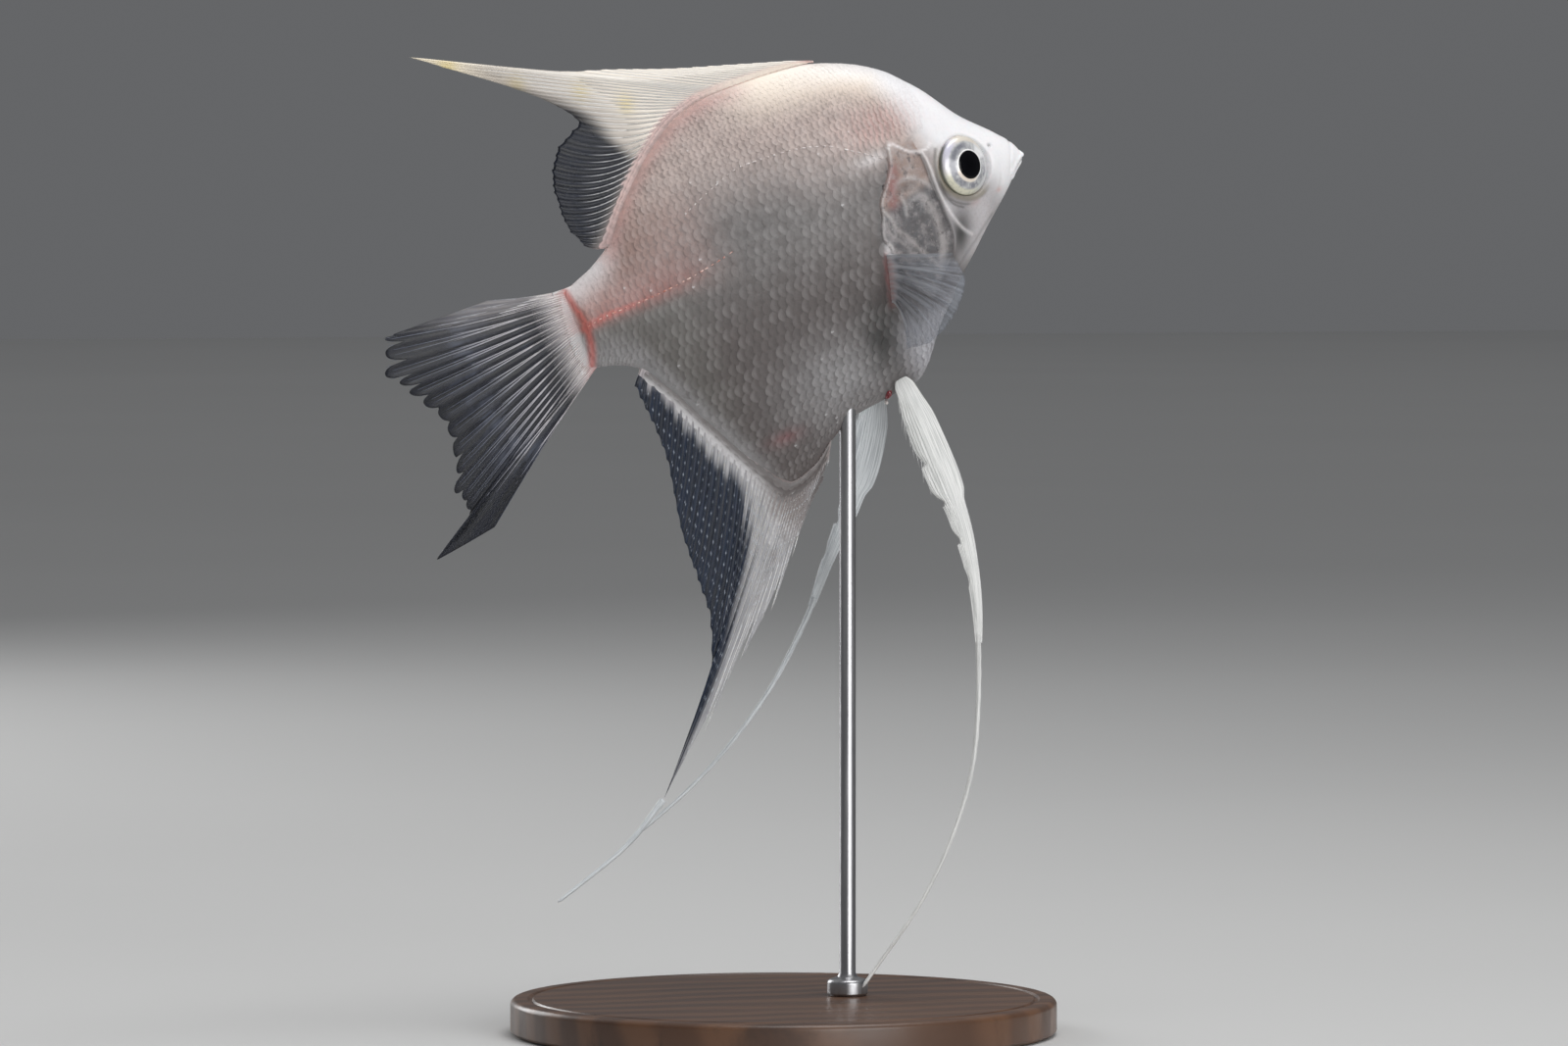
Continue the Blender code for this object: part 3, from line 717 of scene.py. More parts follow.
def body_marks(back, side, up):
    """How strongly each mark shows at places on the body."""
    marks = {word: np.zeros(len(back)) for word in MARKS} | flank_marks(back, up)
    ahead = back < HEAD_MARKS_END
    for word, value in head_marks(back[ahead], side[ahead], up[ahead]).items():
        marks[word][ahead] = np.maximum(marks[word][ahead], value)
    return marks


def painted(finish, mottle):
    """The body's colour: the flank's, with each mark laid on it."""
    colour = finish.mix(mottle, (66, 60, 59), FLANK)
    for word, ink in MARKS.items():
        share = finish.mark(word)
        colour = finish.mix(share * mottle if word in MOTTLED else share, colour, ink)
    return colour


def skin_finish():
    finish = Finish("skin", Coat_Weight=0.3, Coat_Roughness=0.16, IOR=1.42, Subsurface_Weight=0.12,
                    Subsurface_Radius=(0.9, 0.5, 0.4), Subsurface_Scale=MM)
    noise, mark = finish.noise, finish.mark
    plain = mark("white").larger(mark("cream")).to(0.9, 0.2, 0.04, 0.16)
    over_gill = mark("gill_grey").larger(mark("gill_brown"))
    tall = finish.stretched(finish.place(), 1.0, 1.0, 0.7)
    colour = finish.layers(
        painted(finish, noise(0.6, 4.0, 0.65).to(0.32, 0.62, 0.6, 1.0)),
        (noise(2.2, 3.0, 0.6).to(0.4, 0.72) * plain, (112, 96, 98)),
        (over_gill * noise(0.62, 4.0, 0.62).to(0.42, 0.72) * 0.6, (172, 166, 166)),
        (over_gill * noise(1.05, 4.0, 0.7, tall).to(0.53, 0.7) * 0.7, (64, 60, 64)),
        (over_gill * noise(2.6, 3.0, 0.6).to(0.6, 0.74) * 0.35, (206, 198, 196)),
    )
    fine = finish.bump(finish.cells(3.2), 0.00006, 0.3)
    normal = finish.bump(noise(1.3, 5.0, 0.65), 0.00014, 0.35, Normal=fine)
    return finish.wear(colour, noise(1.7).to(0.3, 0.7, 0.34, 0.5), normal)


def scale_finish():
    """Silvered scales: the skin's markings, with a painted highlight by the free edge and painted shade on
    the root.
    """
    finish = Finish("scales", Coat_Weight=0.22, Coat_Roughness=0.2, IOR=1.42)
    noise, mark = finish.noise, finish.mark
    tone, edge, dash = mark("tone"), mark("edge"), mark("dash")
    grain = noise(3.4, 3.0, 0.6)
    fleck = noise(1.0, 3.0, 0.6, finish.stretched(finish.place(), 2.4, 1.5, 1.2))
    plain = mark("white").larger(mark("cream")).to(0.9, 0.2, 0.2, 1.0)
    colour = finish.layers(
        painted(finish, noise(0.6, 4.0, 0.65).to(0.32, 0.62, 0.75, 1.0)),
        # Painted shade on each scale's root, where the scale before overlaps it
        (edge.to(0.85, 0.5) * tone.to(0.0, 1.0, 0.36, 0.2), (62, 56, 56)),
        # A painted highlight: a pale streak by each scale's free edge
        (dash * tone.to(0.1, 0.9, 0.02, 0.13), (226, 222, 222)),
        # Painted glints on a few scales' free edges
        (dash.to(0.9, 0.99) * tone.to(0.97, 0.985) * 0.4, (240, 240, 242)),
        (fleck.to(0.48, 0.7, 0.0, 0.3) * plain, (92, 80, 78)),
        (grain.to(0.35, 0.7, 0.0, 0.12), (90, 82, 84)),
    )
    return finish.wear(colour, noise(0.9).to(0.3, 0.7, 0.46, 0.3), finish.bump(grain, 0.00005, 0.35))


# The body


def head_relief(back, side, up):
    """How far the head's own forms stand out from the plain body."""
    radius, eye_high, eye_behind = eye_ring(back, side, up)
    gill = back - COVER_EDGE(up)
    height = sum(depth * line.band(back, up, width) for line, depth, width in HEAD_STROKES)
    # Mouth and nostril
    gape = GAPE.near(back, up, 3.0)
    height += ramp(back, 4.0, 2.6) * (0.2 * hump(np.abs(gape) - 0.42, 0.3) - 0.36 * hump(gape, 0.13))
    pit = np.hypot(back - NOSTRIL[0], up - NOSTRIL[1])
    height += 0.08 * hump(pit - 0.48, 0.2) - 0.4 * hump(pit, 0.24)
    # Orbit
    height -= 2.4 * ramp(radius, 4.5, 4.1)
    height += (0.05 + 0.36 * ramp(eye_behind - 0.5 * eye_high, -1.0, 3.5)) * hump(radius - 5.0, 0.6)
    # Gill cover
    height -= 0.12 * spot(back, up, (20.6, 2.5), 1.6, 0.8)
    covered = ramp(up, 10.2, 9.0) * ramp(up, -18, -15.5)
    rim = 0.24 * ramp(gill, -4.0, -0.4) * ramp(gill, 0.1, -0.1)
    cover_low = COVER_LOW.near(back, up)
    folds = 0.03 * ramp(gill, 0.0, -0.8) * ramp(cover_low, 0.2, 1.0) * np.cos(TAU * cover_low / 1.5)
    height += covered * (rim + folds - 0.28 * hump(gill - 0.35, 0.35))
    height += 0.1 * hump(cover_low, 0.25) * ramp(gill, 0.3, -0.3)
    # The pectoral fin's fleshy base
    slant = behind_pectoral(back, up)
    lobe = ramp(up, -4.6, -5.8) * ramp(up, -13.6, -12.4)
    return height + lobe * (0.4 * hump(slant, 0.6) - 0.2 * hump(slant - 0.75, 0.3))


def make_skin(finish, around=272):
    """One skin over the head, the trunk and the tail's stalk, with its rings close together on the head."""
    even = TAU * np.arange(around) / around - TAU / 4
    angle = (even - 0.24 * np.sin(2 * even))[None]
    head, trunk = np.arange(0.06, HEAD_RINGS_END, 0.18), np.arange(HEAD_RINGS_END, LENGTH, 0.42)
    backs = np.concatenate([head, trunk, np.linspace(LENGTH, LENGTH + TAIL_WRAP, 10)])[:, None]
    body = ring_at(np.minimum(backs, LENGTH), angle)
    body[..., 0] = backs
    body[..., 1] *= tail_pinch(backs)
    tip = [(math.sin(turn), -0.3 * math.cos(turn)) for turn in np.linspace(0.12, 1.5, 7)]
    snout = np.stack([body[0] * (0, shrink, shrink) + (back, 0, 0) for shrink, back in tip])
    body = np.concatenate([snout, body])
    climb = np.roll(body, -1, 1) - np.roll(body, 1, 1)
    normal = unit(np.cross(climb, np.gradient(body, axis=0)))
    back, side, up = np.moveaxis(body, -1, 0)
    height = -inset(back)
    ahead = body[:, 0, 0] < HEAD_RELIEF_END
    height[ahead] += head_relief(back[ahead], side[ahead], up[ahead])
    height += 0.16 * hump(side, 1.0) * ramp(back, 25, 28) * ramp(back, 69, 66)
    places = (body + height[..., None] * normal).reshape(-1, 3)
    skin = piece("skin", (places, tube_faces(len(body), around), body_marks(*places.T)), finish)
    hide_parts("head", "jaw", "gill_cover_left", "gill_cover_right", "trunk", "tail_stalk")


# Scales


def steps_along(pitch, start, end):
    """Places from start to end, each a pitch after the one before."""
    places = [start]
    while places[-1] < end:
        places.append(places[-1] + float(pitch(places[-1])))
    return np.array(places)


COLUMN_PITCH = smooth((9, 0.7), (16, 0.85), (24, 1.05), (34, 1.26), (50, 1.22), (62, 1.0), (74, 0.72))
COLUMN_SHARE = smooth((-46, 0.75), (-30, 0.85), (-18, 1.0), (6, 1.0), (14, 0.8), (22, 0.66), (46, 0.6))
ROW_PITCH = smooth(
    (-46, 0.9), (-34, 1.05), (-24, 1.35), (-12, 1.7), (6, 1.7), (13, 1.35), (20, 0.95), (30, 0.8), (46, 0.75),
)


def scale_roots(chart):
    """Where scales grow: (back, girth, length, width, stand) rows, in offset rows like tiles."""
    roots = []
    for j, girth in enumerate(steps_along(ROW_PITCH, -GIRTH + 2, GIRTH - 2)):
        share = float(COLUMN_SHARE(girth))
        columns = steps_along(lambda back: share * COLUMN_PITCH(back), SCALES_FROM, SCALES_TO)
        number = np.arange(len(columns) - 1)
        place = number + 0.5 * (j % 2) + 0.12 * (scatter(number, j) - 0.5)
        back = np.interp(place, np.arange(len(columns)), columns)
        girth = np.full(len(back), girth)
        low, high = chart.limits(back)
        up = chart.at(back, girth)[:, 2]
        lead = np.where(up < COVER_HIGH, back - COVER_EDGE(up), back - 13.4 - 0.3 * np.abs(up - 14))
        kept = (girth > low + 1.0) & (girth < high - 0.1) & (back < SCALES_END)
        kept &= lead > np.where(up < COVER_HIGH, 0.1, 0.0)
        slant = behind_pectoral(back, up)
        kept &= ~((slant > -0.9) & (slant < 1.0) & (up < -4.8) & (up > -13.0))
        young = ramp(lead, -3.0, 0.8)
        length = 2.05 * share * COLUMN_PITCH(back) * young
        stand = 0.3 + 0.7 * ramp(lead, 0.5, 5.0) * ramp(back, 72, 66)
        roots.append(np.stack([back, girth, length, 1.42 * ROW_PITCH(girth) * young, stand], -1)[kept])
    for above_keel, start in ((1.3, 33.0), (0.6, 33.3)):
        back = steps_along(lambda back: 0.62 * COLUMN_PITCH(back), start, 71.0)
        row = (back, chart.limits(back)[0] + above_keel, 1.5 * COLUMN_PITCH(back), 1.3, 1.7)
        roots.append(np.stack(np.broadcast_arrays(*row), -1))
    return np.concatenate(roots)


def scale_sheet(roots, lengthwise=5, across=6):
    """The scales' own shape: grids of (back, girth, lift) offsets, rounded behind and a little raised there,
    with the way from root to edge and the share of the painted highlight by the free edge."""
    u = np.linspace(0, 1, lengthwise + 1)[:, None] ** 0.85
    v = np.linspace(-1, 1, across + 1)
    length, width, stand = np.moveaxis(roots[:, 2:, None, None], 1, 0)
    back = length * (u * (1 - 0.34 * v**2) - 0.42)
    girth = 0.5 * width * v * (0.72 + 0.28 * np.sin(np.pi * np.minimum(u * 0.9, 0.6)))
    tilt = 0.8 + 0.4 * scatter(np.arange(len(roots)), 3)[:, None, None]
    rise = stand * np.sqrt(length / 2.5)
    lift = rise * (-0.05 + 0.1 * tilt * u - 0.03 * v**2 + 0.015 * np.sin(np.pi * u) * (1 - v**2))
    return back, girth, lift, u, ramp(u, 0.55, 0.86) * hump(v, 0.85)


def scale_piece(name, roots, frame_of, side, marks_of, finish, patch_middle):
    """Overlapping closed plates over a surface. frame_of gives the surface's place and normal."""
    back, girth, lift, edge, dash = scale_sheet(roots)
    count, rows, columns = back.shape
    place, normal = frame_of(roots[:, 0, None, None] + back, roots[:, 1, None, None] + girth)
    top = place + normal * lift[..., None]
    places = np.stack([top, top - normal * 0.03], 1).reshape(-1, 3)
    plates = np.arange(count)[:, None, None]
    faces = (slab_faces(rows, columns)[None] + 2 * rows * columns * plates).reshape(-1, 4)
    if side > 0:
        faces = faces[:, ::-1]
    marks = {word: value.reshape(back.shape) for word, value in marks_of(top.reshape(-1, 3)).items()}
    # How much the painted highlight and the root shade show: little on the white and cream parts
    seen = 1 - 0.85 * np.maximum(marks["cream"], marks["white"])
    marks |= {"tone": scatter(plates, 7), "edge": 1 - seen * (1 - edge), "dash": seen * dash}
    steps = np.meshgrid(np.linspace(-0.5, 0.5, rows), np.linspace(-0.5, 0.5, columns), indexing="ij")
    patches = patch_middle[:, None, None] + 0.003 * np.stack(steps, -1)

    def both(values):
        """Values at each plate's top, for its two faces."""
        values = np.broadcast_to(values, (*back.shape, *values.shape[3:]))
        return np.stack([values, values], 1)

    marks = {word: both(value).ravel() for word, value in marks.items()}
    return piece(name, (places, faces, marks), finish, both(patches).reshape(-1, 2), crease=40)


def make_scales(word, side, chart, finish):
    """One side's scales, in two pieces: above and below the axis."""
    roots = scale_roots(chart)

    def frame_of(back, girth):
        place, normal = chart.frame(back, girth)
        return place * (1, side, 1), normal * (1, side, 1)

    def marks_of(places):
        return body_marks(*places.T)

    for half, kept in (("upper", roots[:, 1] > 2.0), ("lower", roots[:, 1] <= 2.0)):
        some = roots[kept]
        middle = np.stack([some[:, 0] / 80, 0.5 + side * (0.25 + some[:, 1] / 4 / GIRTH)], -1)
        scale_piece(f"scales_{half}_{word}", some, frame_of, side, marks_of, finish, middle)


def make_lateral_lines(chart):
    """The pored scales' small raised tubes along the two parts of each lateral line."""
    lines = {
        "upper": (LATERAL_UPPER, 1.05, glossy_finish("pale_beads", (196, 182, 180), (238, 232, 230))),
        "lower": (LATERAL_LOWER, 0.98, glossy_finish("red_beads", (196, 120, 104), (236, 208, 198))),
    }
    for part, (line, pitch, finish) in lines.items():
        number = np.arange(int(line.length / pitch))[:, None]
        middle = (number + 0.5 + 0.25 * (scatter(number, 5) - 0.5)) / len(number)
        half = 0.33 * pitch / line.length * (0.35 + 0.8 * scatter(number, 9))
        back, up = np.moveaxis(line.at(middle + half * np.linspace(-1, 1, 7)), -1, 0)
        place, normal = chart.frame(back, chart.girth_of(back, up))
        radii = (0.06 + 0.08 * scatter(number, 4)) * np.sqrt(1 - np.linspace(-0.98, 0.98, 7) ** 2)
        for word, side in SIDES.items():
            paths = (place + 0.04 * normal) * (1, side, 1)
            piece(f"lateral_line_{part}_{word}", tubes(paths, radii, 7), finish)


# Eyes


def turned_eye(profile, side, steps=84):
    """A closed turned form about the eye's axis, from (radius, out) pairs from its front pole to its rear."""
    cos, sin = math.cos(EYE_TURN), math.sin(EYE_TURN)
    middle = np.array([EYE[0], side * EYE[1], EYE[2]])
    axis = np.array([-sin, side * cos, 0.0])
    across = np.array([cos, side * sin, 0.0])
    radius, out = np.array(profile, float).T
    angle = TAU * np.arange(steps) / steps
    ring = across * np.cos(angle)[:, None] + np.array([0, 0, 1]) * np.sin(angle)[:, None]
    places = middle + radius[:, None, None] * ring + out[:, None, None] * axis
    faces = tube_faces(len(radius), steps)
    if side > 0:
        faces = [face[::-1] for face in faces]
    high, behind = (np.tile(way(angle), len(radius)) for way in (np.sin, np.cos))
    radius = np.repeat(radius, steps)
    weave = np.stack([4.5 * behind, 4.5 * high, 0.7 * radius], -1)
    return places.reshape(-1, 3), faces, {"radius": radius, "high": high, "behind": behind, "weave": weave}


def dome(radius):
    """The solid eye's front at a distance from its axis."""
    return EYE_DEPTH * math.sqrt(max(1 - (radius / EYE_RADIUS) ** 2, 0))


PUPIL_RADIUS = 2.12
IRIS_RADIUS = 3.62
EYE_EDGE = 4.45


def iris_finish():
    """Silver iris: a white ring at the pupil, grey clouds, a pale outer ring, and a dark rim behind and
    below."""
    finish = Finish("iris", Coat_Weight=1.0, Coat_Roughness=0.13, Metallic=0.15)
    radius, high, behind = (finish.mark(word) for word in ("radius", "high", "behind"))

    def toward(turn, low, full):
        """How near a place is to a way from the pupil, turned from straight back toward the top."""
        lean = behind * math.cos(math.radians(turn))
        return finish.math("MULTIPLY_ADD", high, math.sin(math.radians(turn)), lean).to(low, full)

    def ring(middle, width):
        return abs(radius - middle).to(width, 0.2 * width)

    fibre = finish.noise(2.4, 4.0, 0.7)
    spokes = finish.noise(1.0, 4.0, 0.65, finish.place("weave"))
    cloud = finish.noise(0.9, 4.0, 0.65)
    below = toward(-50, 0.3, 0.9)
    inner = radius - below.to(0.0, 1.0, PUPIL_RADIUS + 0.2, PUPIL_RADIUS + 0.45)
    outer = finish.layers(
        finish.mix(toward(-30, 0.1, 0.8), (208, 209, 210), (214, 211, 190)),
        (fibre.to(0.48, 0.64) * toward(-25, 0.0, 0.7) * 0.5, (160, 158, 140)),
        (toward(112, 0.55, 0.95) * 0.5, (240, 224, 198)),
        (toward(40, 0.6, 0.95) * 0.5, (208, 204, 232)),
    )
    colour = finish.layers(
        finish.mix(spokes.to(0.35, 0.65), (156, 157, 162), (202, 203, 203)),
        (fibre.to(0.5, 0.7) * 0.4, (222, 222, 220)),
        (toward(-75, -0.3, 0.4) * ring(3.1, 0.85) * cloud.to(0.38, 0.58) * 0.8, (122, 122, 134)),
        (toward(50, 0.35, 0.75) * ring(2.95, 0.6) * spokes.to(0.3, 0.6, 0.6, 1.0), (118, 119, 128)),
        (toward(0, 0.5, 0.9) * ring(3.25, 0.4) * 0.55, (120, 122, 130)),
        (radius.to(IRIS_RADIUS - 0.25, IRIS_RADIUS + 0.15), outer),
        (toward(158, 0.9, 0.985) * radius.to(4.0, 3.2) * 0.9, (250, 250, 250)),
        (inner.to(0.1, -0.1), finish.mix(below * 0.8, (250, 249, 248), (238, 222, 204))),
        (radius.to(EYE_EDGE - 0.17, EYE_EDGE - 0.02) * toward(-38, -0.45, 0.05) * 0.92, (78, 80, 68)),
    )
    return finish.wear(colour, fibre.to(0.2, 0.8, 0.3, 0.45), finish.bump(fibre, 0.00003, 0.3))


def pupil_finish():
    finish = Finish("pupil", Coat_Weight=0.12, Coat_Roughness=0.02, Specular_IOR_Level=0.15)
    depth = finish.mark("radius").to(0.0, PUPIL_RADIUS)
    return finish.wear(finish.mix(depth, (2, 2, 5), (7, 7, 11)), depth.to(0, 1, 0.06, 0.12))


def make_eye(word, side, finishes):
    rings = np.linspace(PUPIL_RADIUS - 0.06, EYE_EDGE - 0.3, 16)
    profile = [
        (1.0, dome(2.1) - 0.5), (PUPIL_RADIUS - 0.12, dome(2.1) - 0.2),
        *((radius, dome(radius) - 0.12 - 0.12 * hump(radius - 3.1, 0.7)) for radius in rings),
        (4.25, dome(4.25) - 0.14), (4.36, dome(4.36) - 0.22), (EYE_EDGE, dome(EYE_EDGE) - 0.4), (4.52, 0.7),
        (4.55, -0.2), (4.0, -1.3), (2.6, -2.0), (0.6, -2.3),
    ]
    iris = piece(f"iris_{word}", turned_eye(profile, side), finishes["iris"])
    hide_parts(f"eye_{word}")
    low = dome(PUPIL_RADIUS) - 0.16
    turns = np.linspace(0.04, TAU / 4, 12)
    lens = [(PUPIL_RADIUS * math.sin(turn), low + 0.3 * math.cos(turn)) for turn in turns]
    lens += [(PUPIL_RADIUS, low - 0.15), (1.0, low - 0.3)]
    piece(f"pupil_{word}", turned_eye(lens, side), finishes["pupil"])


# Fins

DORSAL_ROOT = (26.5, 65.2)
ANAL_ROOT = (42.4, 66.4)
TAIL_ROOT = (6.2, -5.6)
GAP = 0.3
TAIL_GAP = 0.4
TUCK = 1.0  # how far webs and rays run on into the body
WEB_THICK = 0.13  # a fan fin's web, away from its root
WEB_ROOT_THICK = 0.5
DORSAL_MARGIN = (
    (0, 29.8, 25.7), (0.1, 38.4, 28.3), (0.2, 47, 30.9), (0.3, 55.4, 33.9), (0.36, 62, 36.0),
    (0.4, 83.4, 46.1), (0.46, 75.4, 40.4), (0.52, 66.5, 33.4), (0.6, 62.6, 28.6), (0.68, 66.8, 25.8),
    (0.78, 69.5, 21.4), (0.9, 69.8, 15.5), (1, 68.2, 11.6),
)
ANAL_MARGIN = (
    (0, 43.1, -31.0), (0.1, 48.7, -36.4), (0.18, 54.5, -43.1), (0.25, 61, -49.9), (0.3, 67.6, -54.4),
    (0.36, 76.5, -62.3), (0.42, 84.6, -68.2), (0.48, 79.8, -63.0), (0.55, 71.2, -53.1), (0.62, 68.7, -44.3),
    (0.74, 68.6, -34.2), (0.87, 67.0, -20.9), (1, 68.0, -10.4),
)
TAIL_MARGIN = (
    (0, 84.1, 9.0), (0.07, 101.2, 9.6), (0.2, 102.4, 4.4), (0.36, 99.0, -1.2), (0.52, 97.0, -8.4),
    (0.68, 98.4, -15.5), (0.86, 98.0, -20.4), (0.95, 104.8, -23.4), (1, 94.6, -22.0),
)
PELVIC_LINE = {
    "right": (
        (29.9, -2.0, -20.5), (29.6, -4.0, -34.0), (29.8, -5.8, -43.0), (31.2, -8.0, -52.5),
        (35.0, -9.5, -64.3), (41.9, -9.9, -79.6), (53.6, -9.2, -93.4), (68.6, -8.0, -103.9),
    ),
    "left": (
        (30.3, 2.0, -21.0), (36.1, 4.2, -32.5), (41.0, 6.0, -39.7), (46.7, 7.7, -46.5),
        (52.4, 8.9, -53.4), (63.3, 10.1, -62.8), (77.0, 10.9, -70.2), (89.6, 11.0, -74.3),
    ),
}
PELVIC_BLADE = {"left": 38.0, "right": 44.0}
PELVIC_WIDTH = smooth(
    (0, 3.4), (0.13, 4.3), (0.28, 5.1), (0.41, 5.3), (0.48, 4.9), (0.53, 3.5), (0.63, 3.0), (0.77, 2.1),
    (0.91, 1.5), (1, 1.0),
)
STREAMER_RADII = (0.42, 0.31, 0.26)
ANAL_STREAMER_LINE = ((84.9, 0.6, -68.4), (92.5, 0.9, -72.6), (104.9, 1.4, -76.4))
PECTORAL_AHEAD = smooth((0, 6.8), (0.2, 7.1), (0.5, 4.2), (0.8, 0.2), (1, -2.4))
PECTORAL_OUT = smooth((0, 7.0), (0.2, 8.8), (0.5, 10.2), (0.8, 8.4), (1, 5.4))
PECTORAL_UP = smooth((0, -1.8), (0.2, -3.8), (0.5, -6.2), (0.8, -7.4), (1, -6.2))

# Where the fins turn from white to clear: each line has the clear part on its left
DORSAL_CLEAR = Line((72.5, 38.0), (66.5, 33.6), (62.5, 30.4), (59.3, 26.2), (57.2, 21.8), (56.5, 18.0))
ANAL_CLEAR = Line(
    (66.0, -10.5), (63.2, -15.6), (62.0, -20.5), (59.7, -25.9), (57.8, -31.1), (58.5, -35.3), (60.0, -39.3),
    (62.3, -42.9), (64.9, -46.4), (68.2, -51.9), (71.1, -55.4), (74.3, -58.7), (86, -69),
)


class Fan:
    """A fin of rays from its root to its margin. A place on it is a share across and a share out.

    rays are the shares of its rays, and arch is how far its rays bow, as a share of their length."""

    def __init__(self, root, margin, bend, rays, arch):
        self.root, self.bend, self.rays, self.arch = root, bend, rays, arch
        shares, *axes = zip(*margin)
        self.margin = [smooth(*zip(shares, axis)) for axis in axes]

    def at(self, share, out):
        back, up = self.root(share)
        run, rise = self.margin[0](share) - back, self.margin[1](share) - up
        bow = self.arch(share) * 4 * out * (1 - out) * (out > 0)
        side = self.bend(share, np.maximum(out, 0))
        place = (back + out * run - bow * rise, side, up + out * rise + bow * run)
        return np.stack(np.broadcast_arrays(*place), -1)

    def reach(self, share):
        return np.hypot(*(axis(share) - root for axis, root in zip(self.margin, self.root(share))))


def membrane(fan, cut, per_ray=6, rows=40):
    """The web of a fan fin: a closed sheet, pleated at its rays and tucked into the body at its root.

    cut says how far its margin falls short, in mm, at each place's ray number and share across."""
    count = len(fan.rays)
    ray = np.linspace(0, count - 1, (count - 1) * per_ray + 1)
    share = np.interp(ray, np.arange(count), fan.rays)
    reach = fan.reach(share)
    length = 1 - np.clip(cut(ray, share) / reach, 0, 0.36)
    out = np.linspace(0, 1, rows)[:, None] ** 0.95 * (length + TUCK / reach) - TUCK / reach
    grid = fan.at(share, out)
    grid[..., 1] += 0.05 * np.cos(TAU * ray) * ramp(out * reach, 0.5, 3.0)
    distance = np.maximum(out * reach, 0)
    thickness = WEB_THICK + (WEB_ROOT_THICK - WEB_THICK) * np.exp(-distance / 1.2)
    thickness *= 0.35 + 0.65 * ramp(reach * length - distance, 0.0, 0.6)
    return sheet(grid, thickness, share=share, distance=distance, ray=ray)


def fin_rays(fan, thick, tip, spread, splits, steps, joint, knuckle, shorts, dots=0.0):
    """A fan's rays as joined tubes. Each parts into branches at the shares out in splits.

    joint is the way from joint to joint, knuckle how far each swells, and dots how pale each joint is: a
    painted highlight on its swelling."""
    paths, distances, shares = [], [], []
    for number, share in enumerate(fan.rays):
        reach = float(fan.reach(share))
        way = (-TUCK + (reach - shorts(number, share) + TUCK) * np.linspace(0, 1, steps)) / reach
        branches = [0.0]
        for order, split in enumerate(splits):
            apart = spread / 2**order * ramp(way, split, 1.05)
            branches = [branch + turn * apart for branch in branches for turn in (-1, 1)]
        for branch in branches:
            paths.append(fan.at(np.clip(share + branch, 0, 1), way))
            distances.append(way * reach)
            shares.append([share])
    distance = np.array(distances)
    reach = distance.max(axis=1, keepdims=True)
    slim = thick + (tip - thick) * np.clip(distance / reach, 0, 1) ** 0.6
    past_joint = np.mod(distance, joint) - joint / 2
    knuckles = knuckle * hump(past_joint, 0.12) * ramp(distance, 1.5, 4.0)
    radii = slim * (1 + knuckles) * (0.25 + 0.75 * ramp(reach - distance, 0.0, 1.0))
    return tubes(np.array(paths), radii, distance=distance, reach=distance / reach,
                 dot=dots * hump(past_joint, 0.17), share=shares)


def spread_shares(*parts):
    """Ray shares from (start, end, count) parts."""
    return np.concatenate([*(np.linspace(*part, endpoint=False) for part in parts), [1.0]])


def edge_fan(edge, gap, span, margin, lean, rays, arch):
    """A fan fin on the body's upper or lower edge, leaning to the fish's left in its middle."""

    def root(share):
        back = between(span, share)
        return back, edge(back) + gap

    return Fan(root, margin, lambda share, out: lean * out**2 * np.sin(np.pi * share), rays, arch)


def dorsal_fan():
    arch = smooth((0, 0.0), (0.4, 0.0), (0.55, -0.05), (0.7, -0.13), (1, -0.1))
    rays = spread_shares((0, 0.36, 14), (0.36, 0.52, 12), (0.52, 1.0, 22))
    return edge_fan(TOP, GAP, DORSAL_ROOT, DORSAL_MARGIN, 0.9, rays, arch)


FRAYED = (0.02, 0.1, 0.17, 0.235, 0.29, 0.35, 0.42)  # where the anal fin's front spines end


def anal_fan():
    arch = smooth((0, 0.0), (0.3, -0.01), (0.5, -0.02), (1, 0.0))
    front = np.interp(np.arange(18) / 3, np.arange(7), FRAYED)
    rays = np.concatenate([front, spread_shares((0.42, 0.52, 6), (0.52, 1.0, 20))])
    return edge_fan(BOTTOM, -GAP, ANAL_ROOT, ANAL_MARGIN, 0.7, rays, arch)


def tail_fan():
    def root(share):
        return LENGTH + TAIL_GAP + 0 * share, between(TAIL_ROOT, share)

    def bend(share, out):
        return 1.6 * out**2 - 0.4 * out * np.sin(TAU * share)

    arch = smooth((0, -0.02), (0.5, 0.0), (1, 0.015))
    return Fan(root, TAIL_MARGIN, bend, spread_shares((0, 0.08, 5), (0.08, 0.9, 14), (0.9, 1.0, 3)), arch)


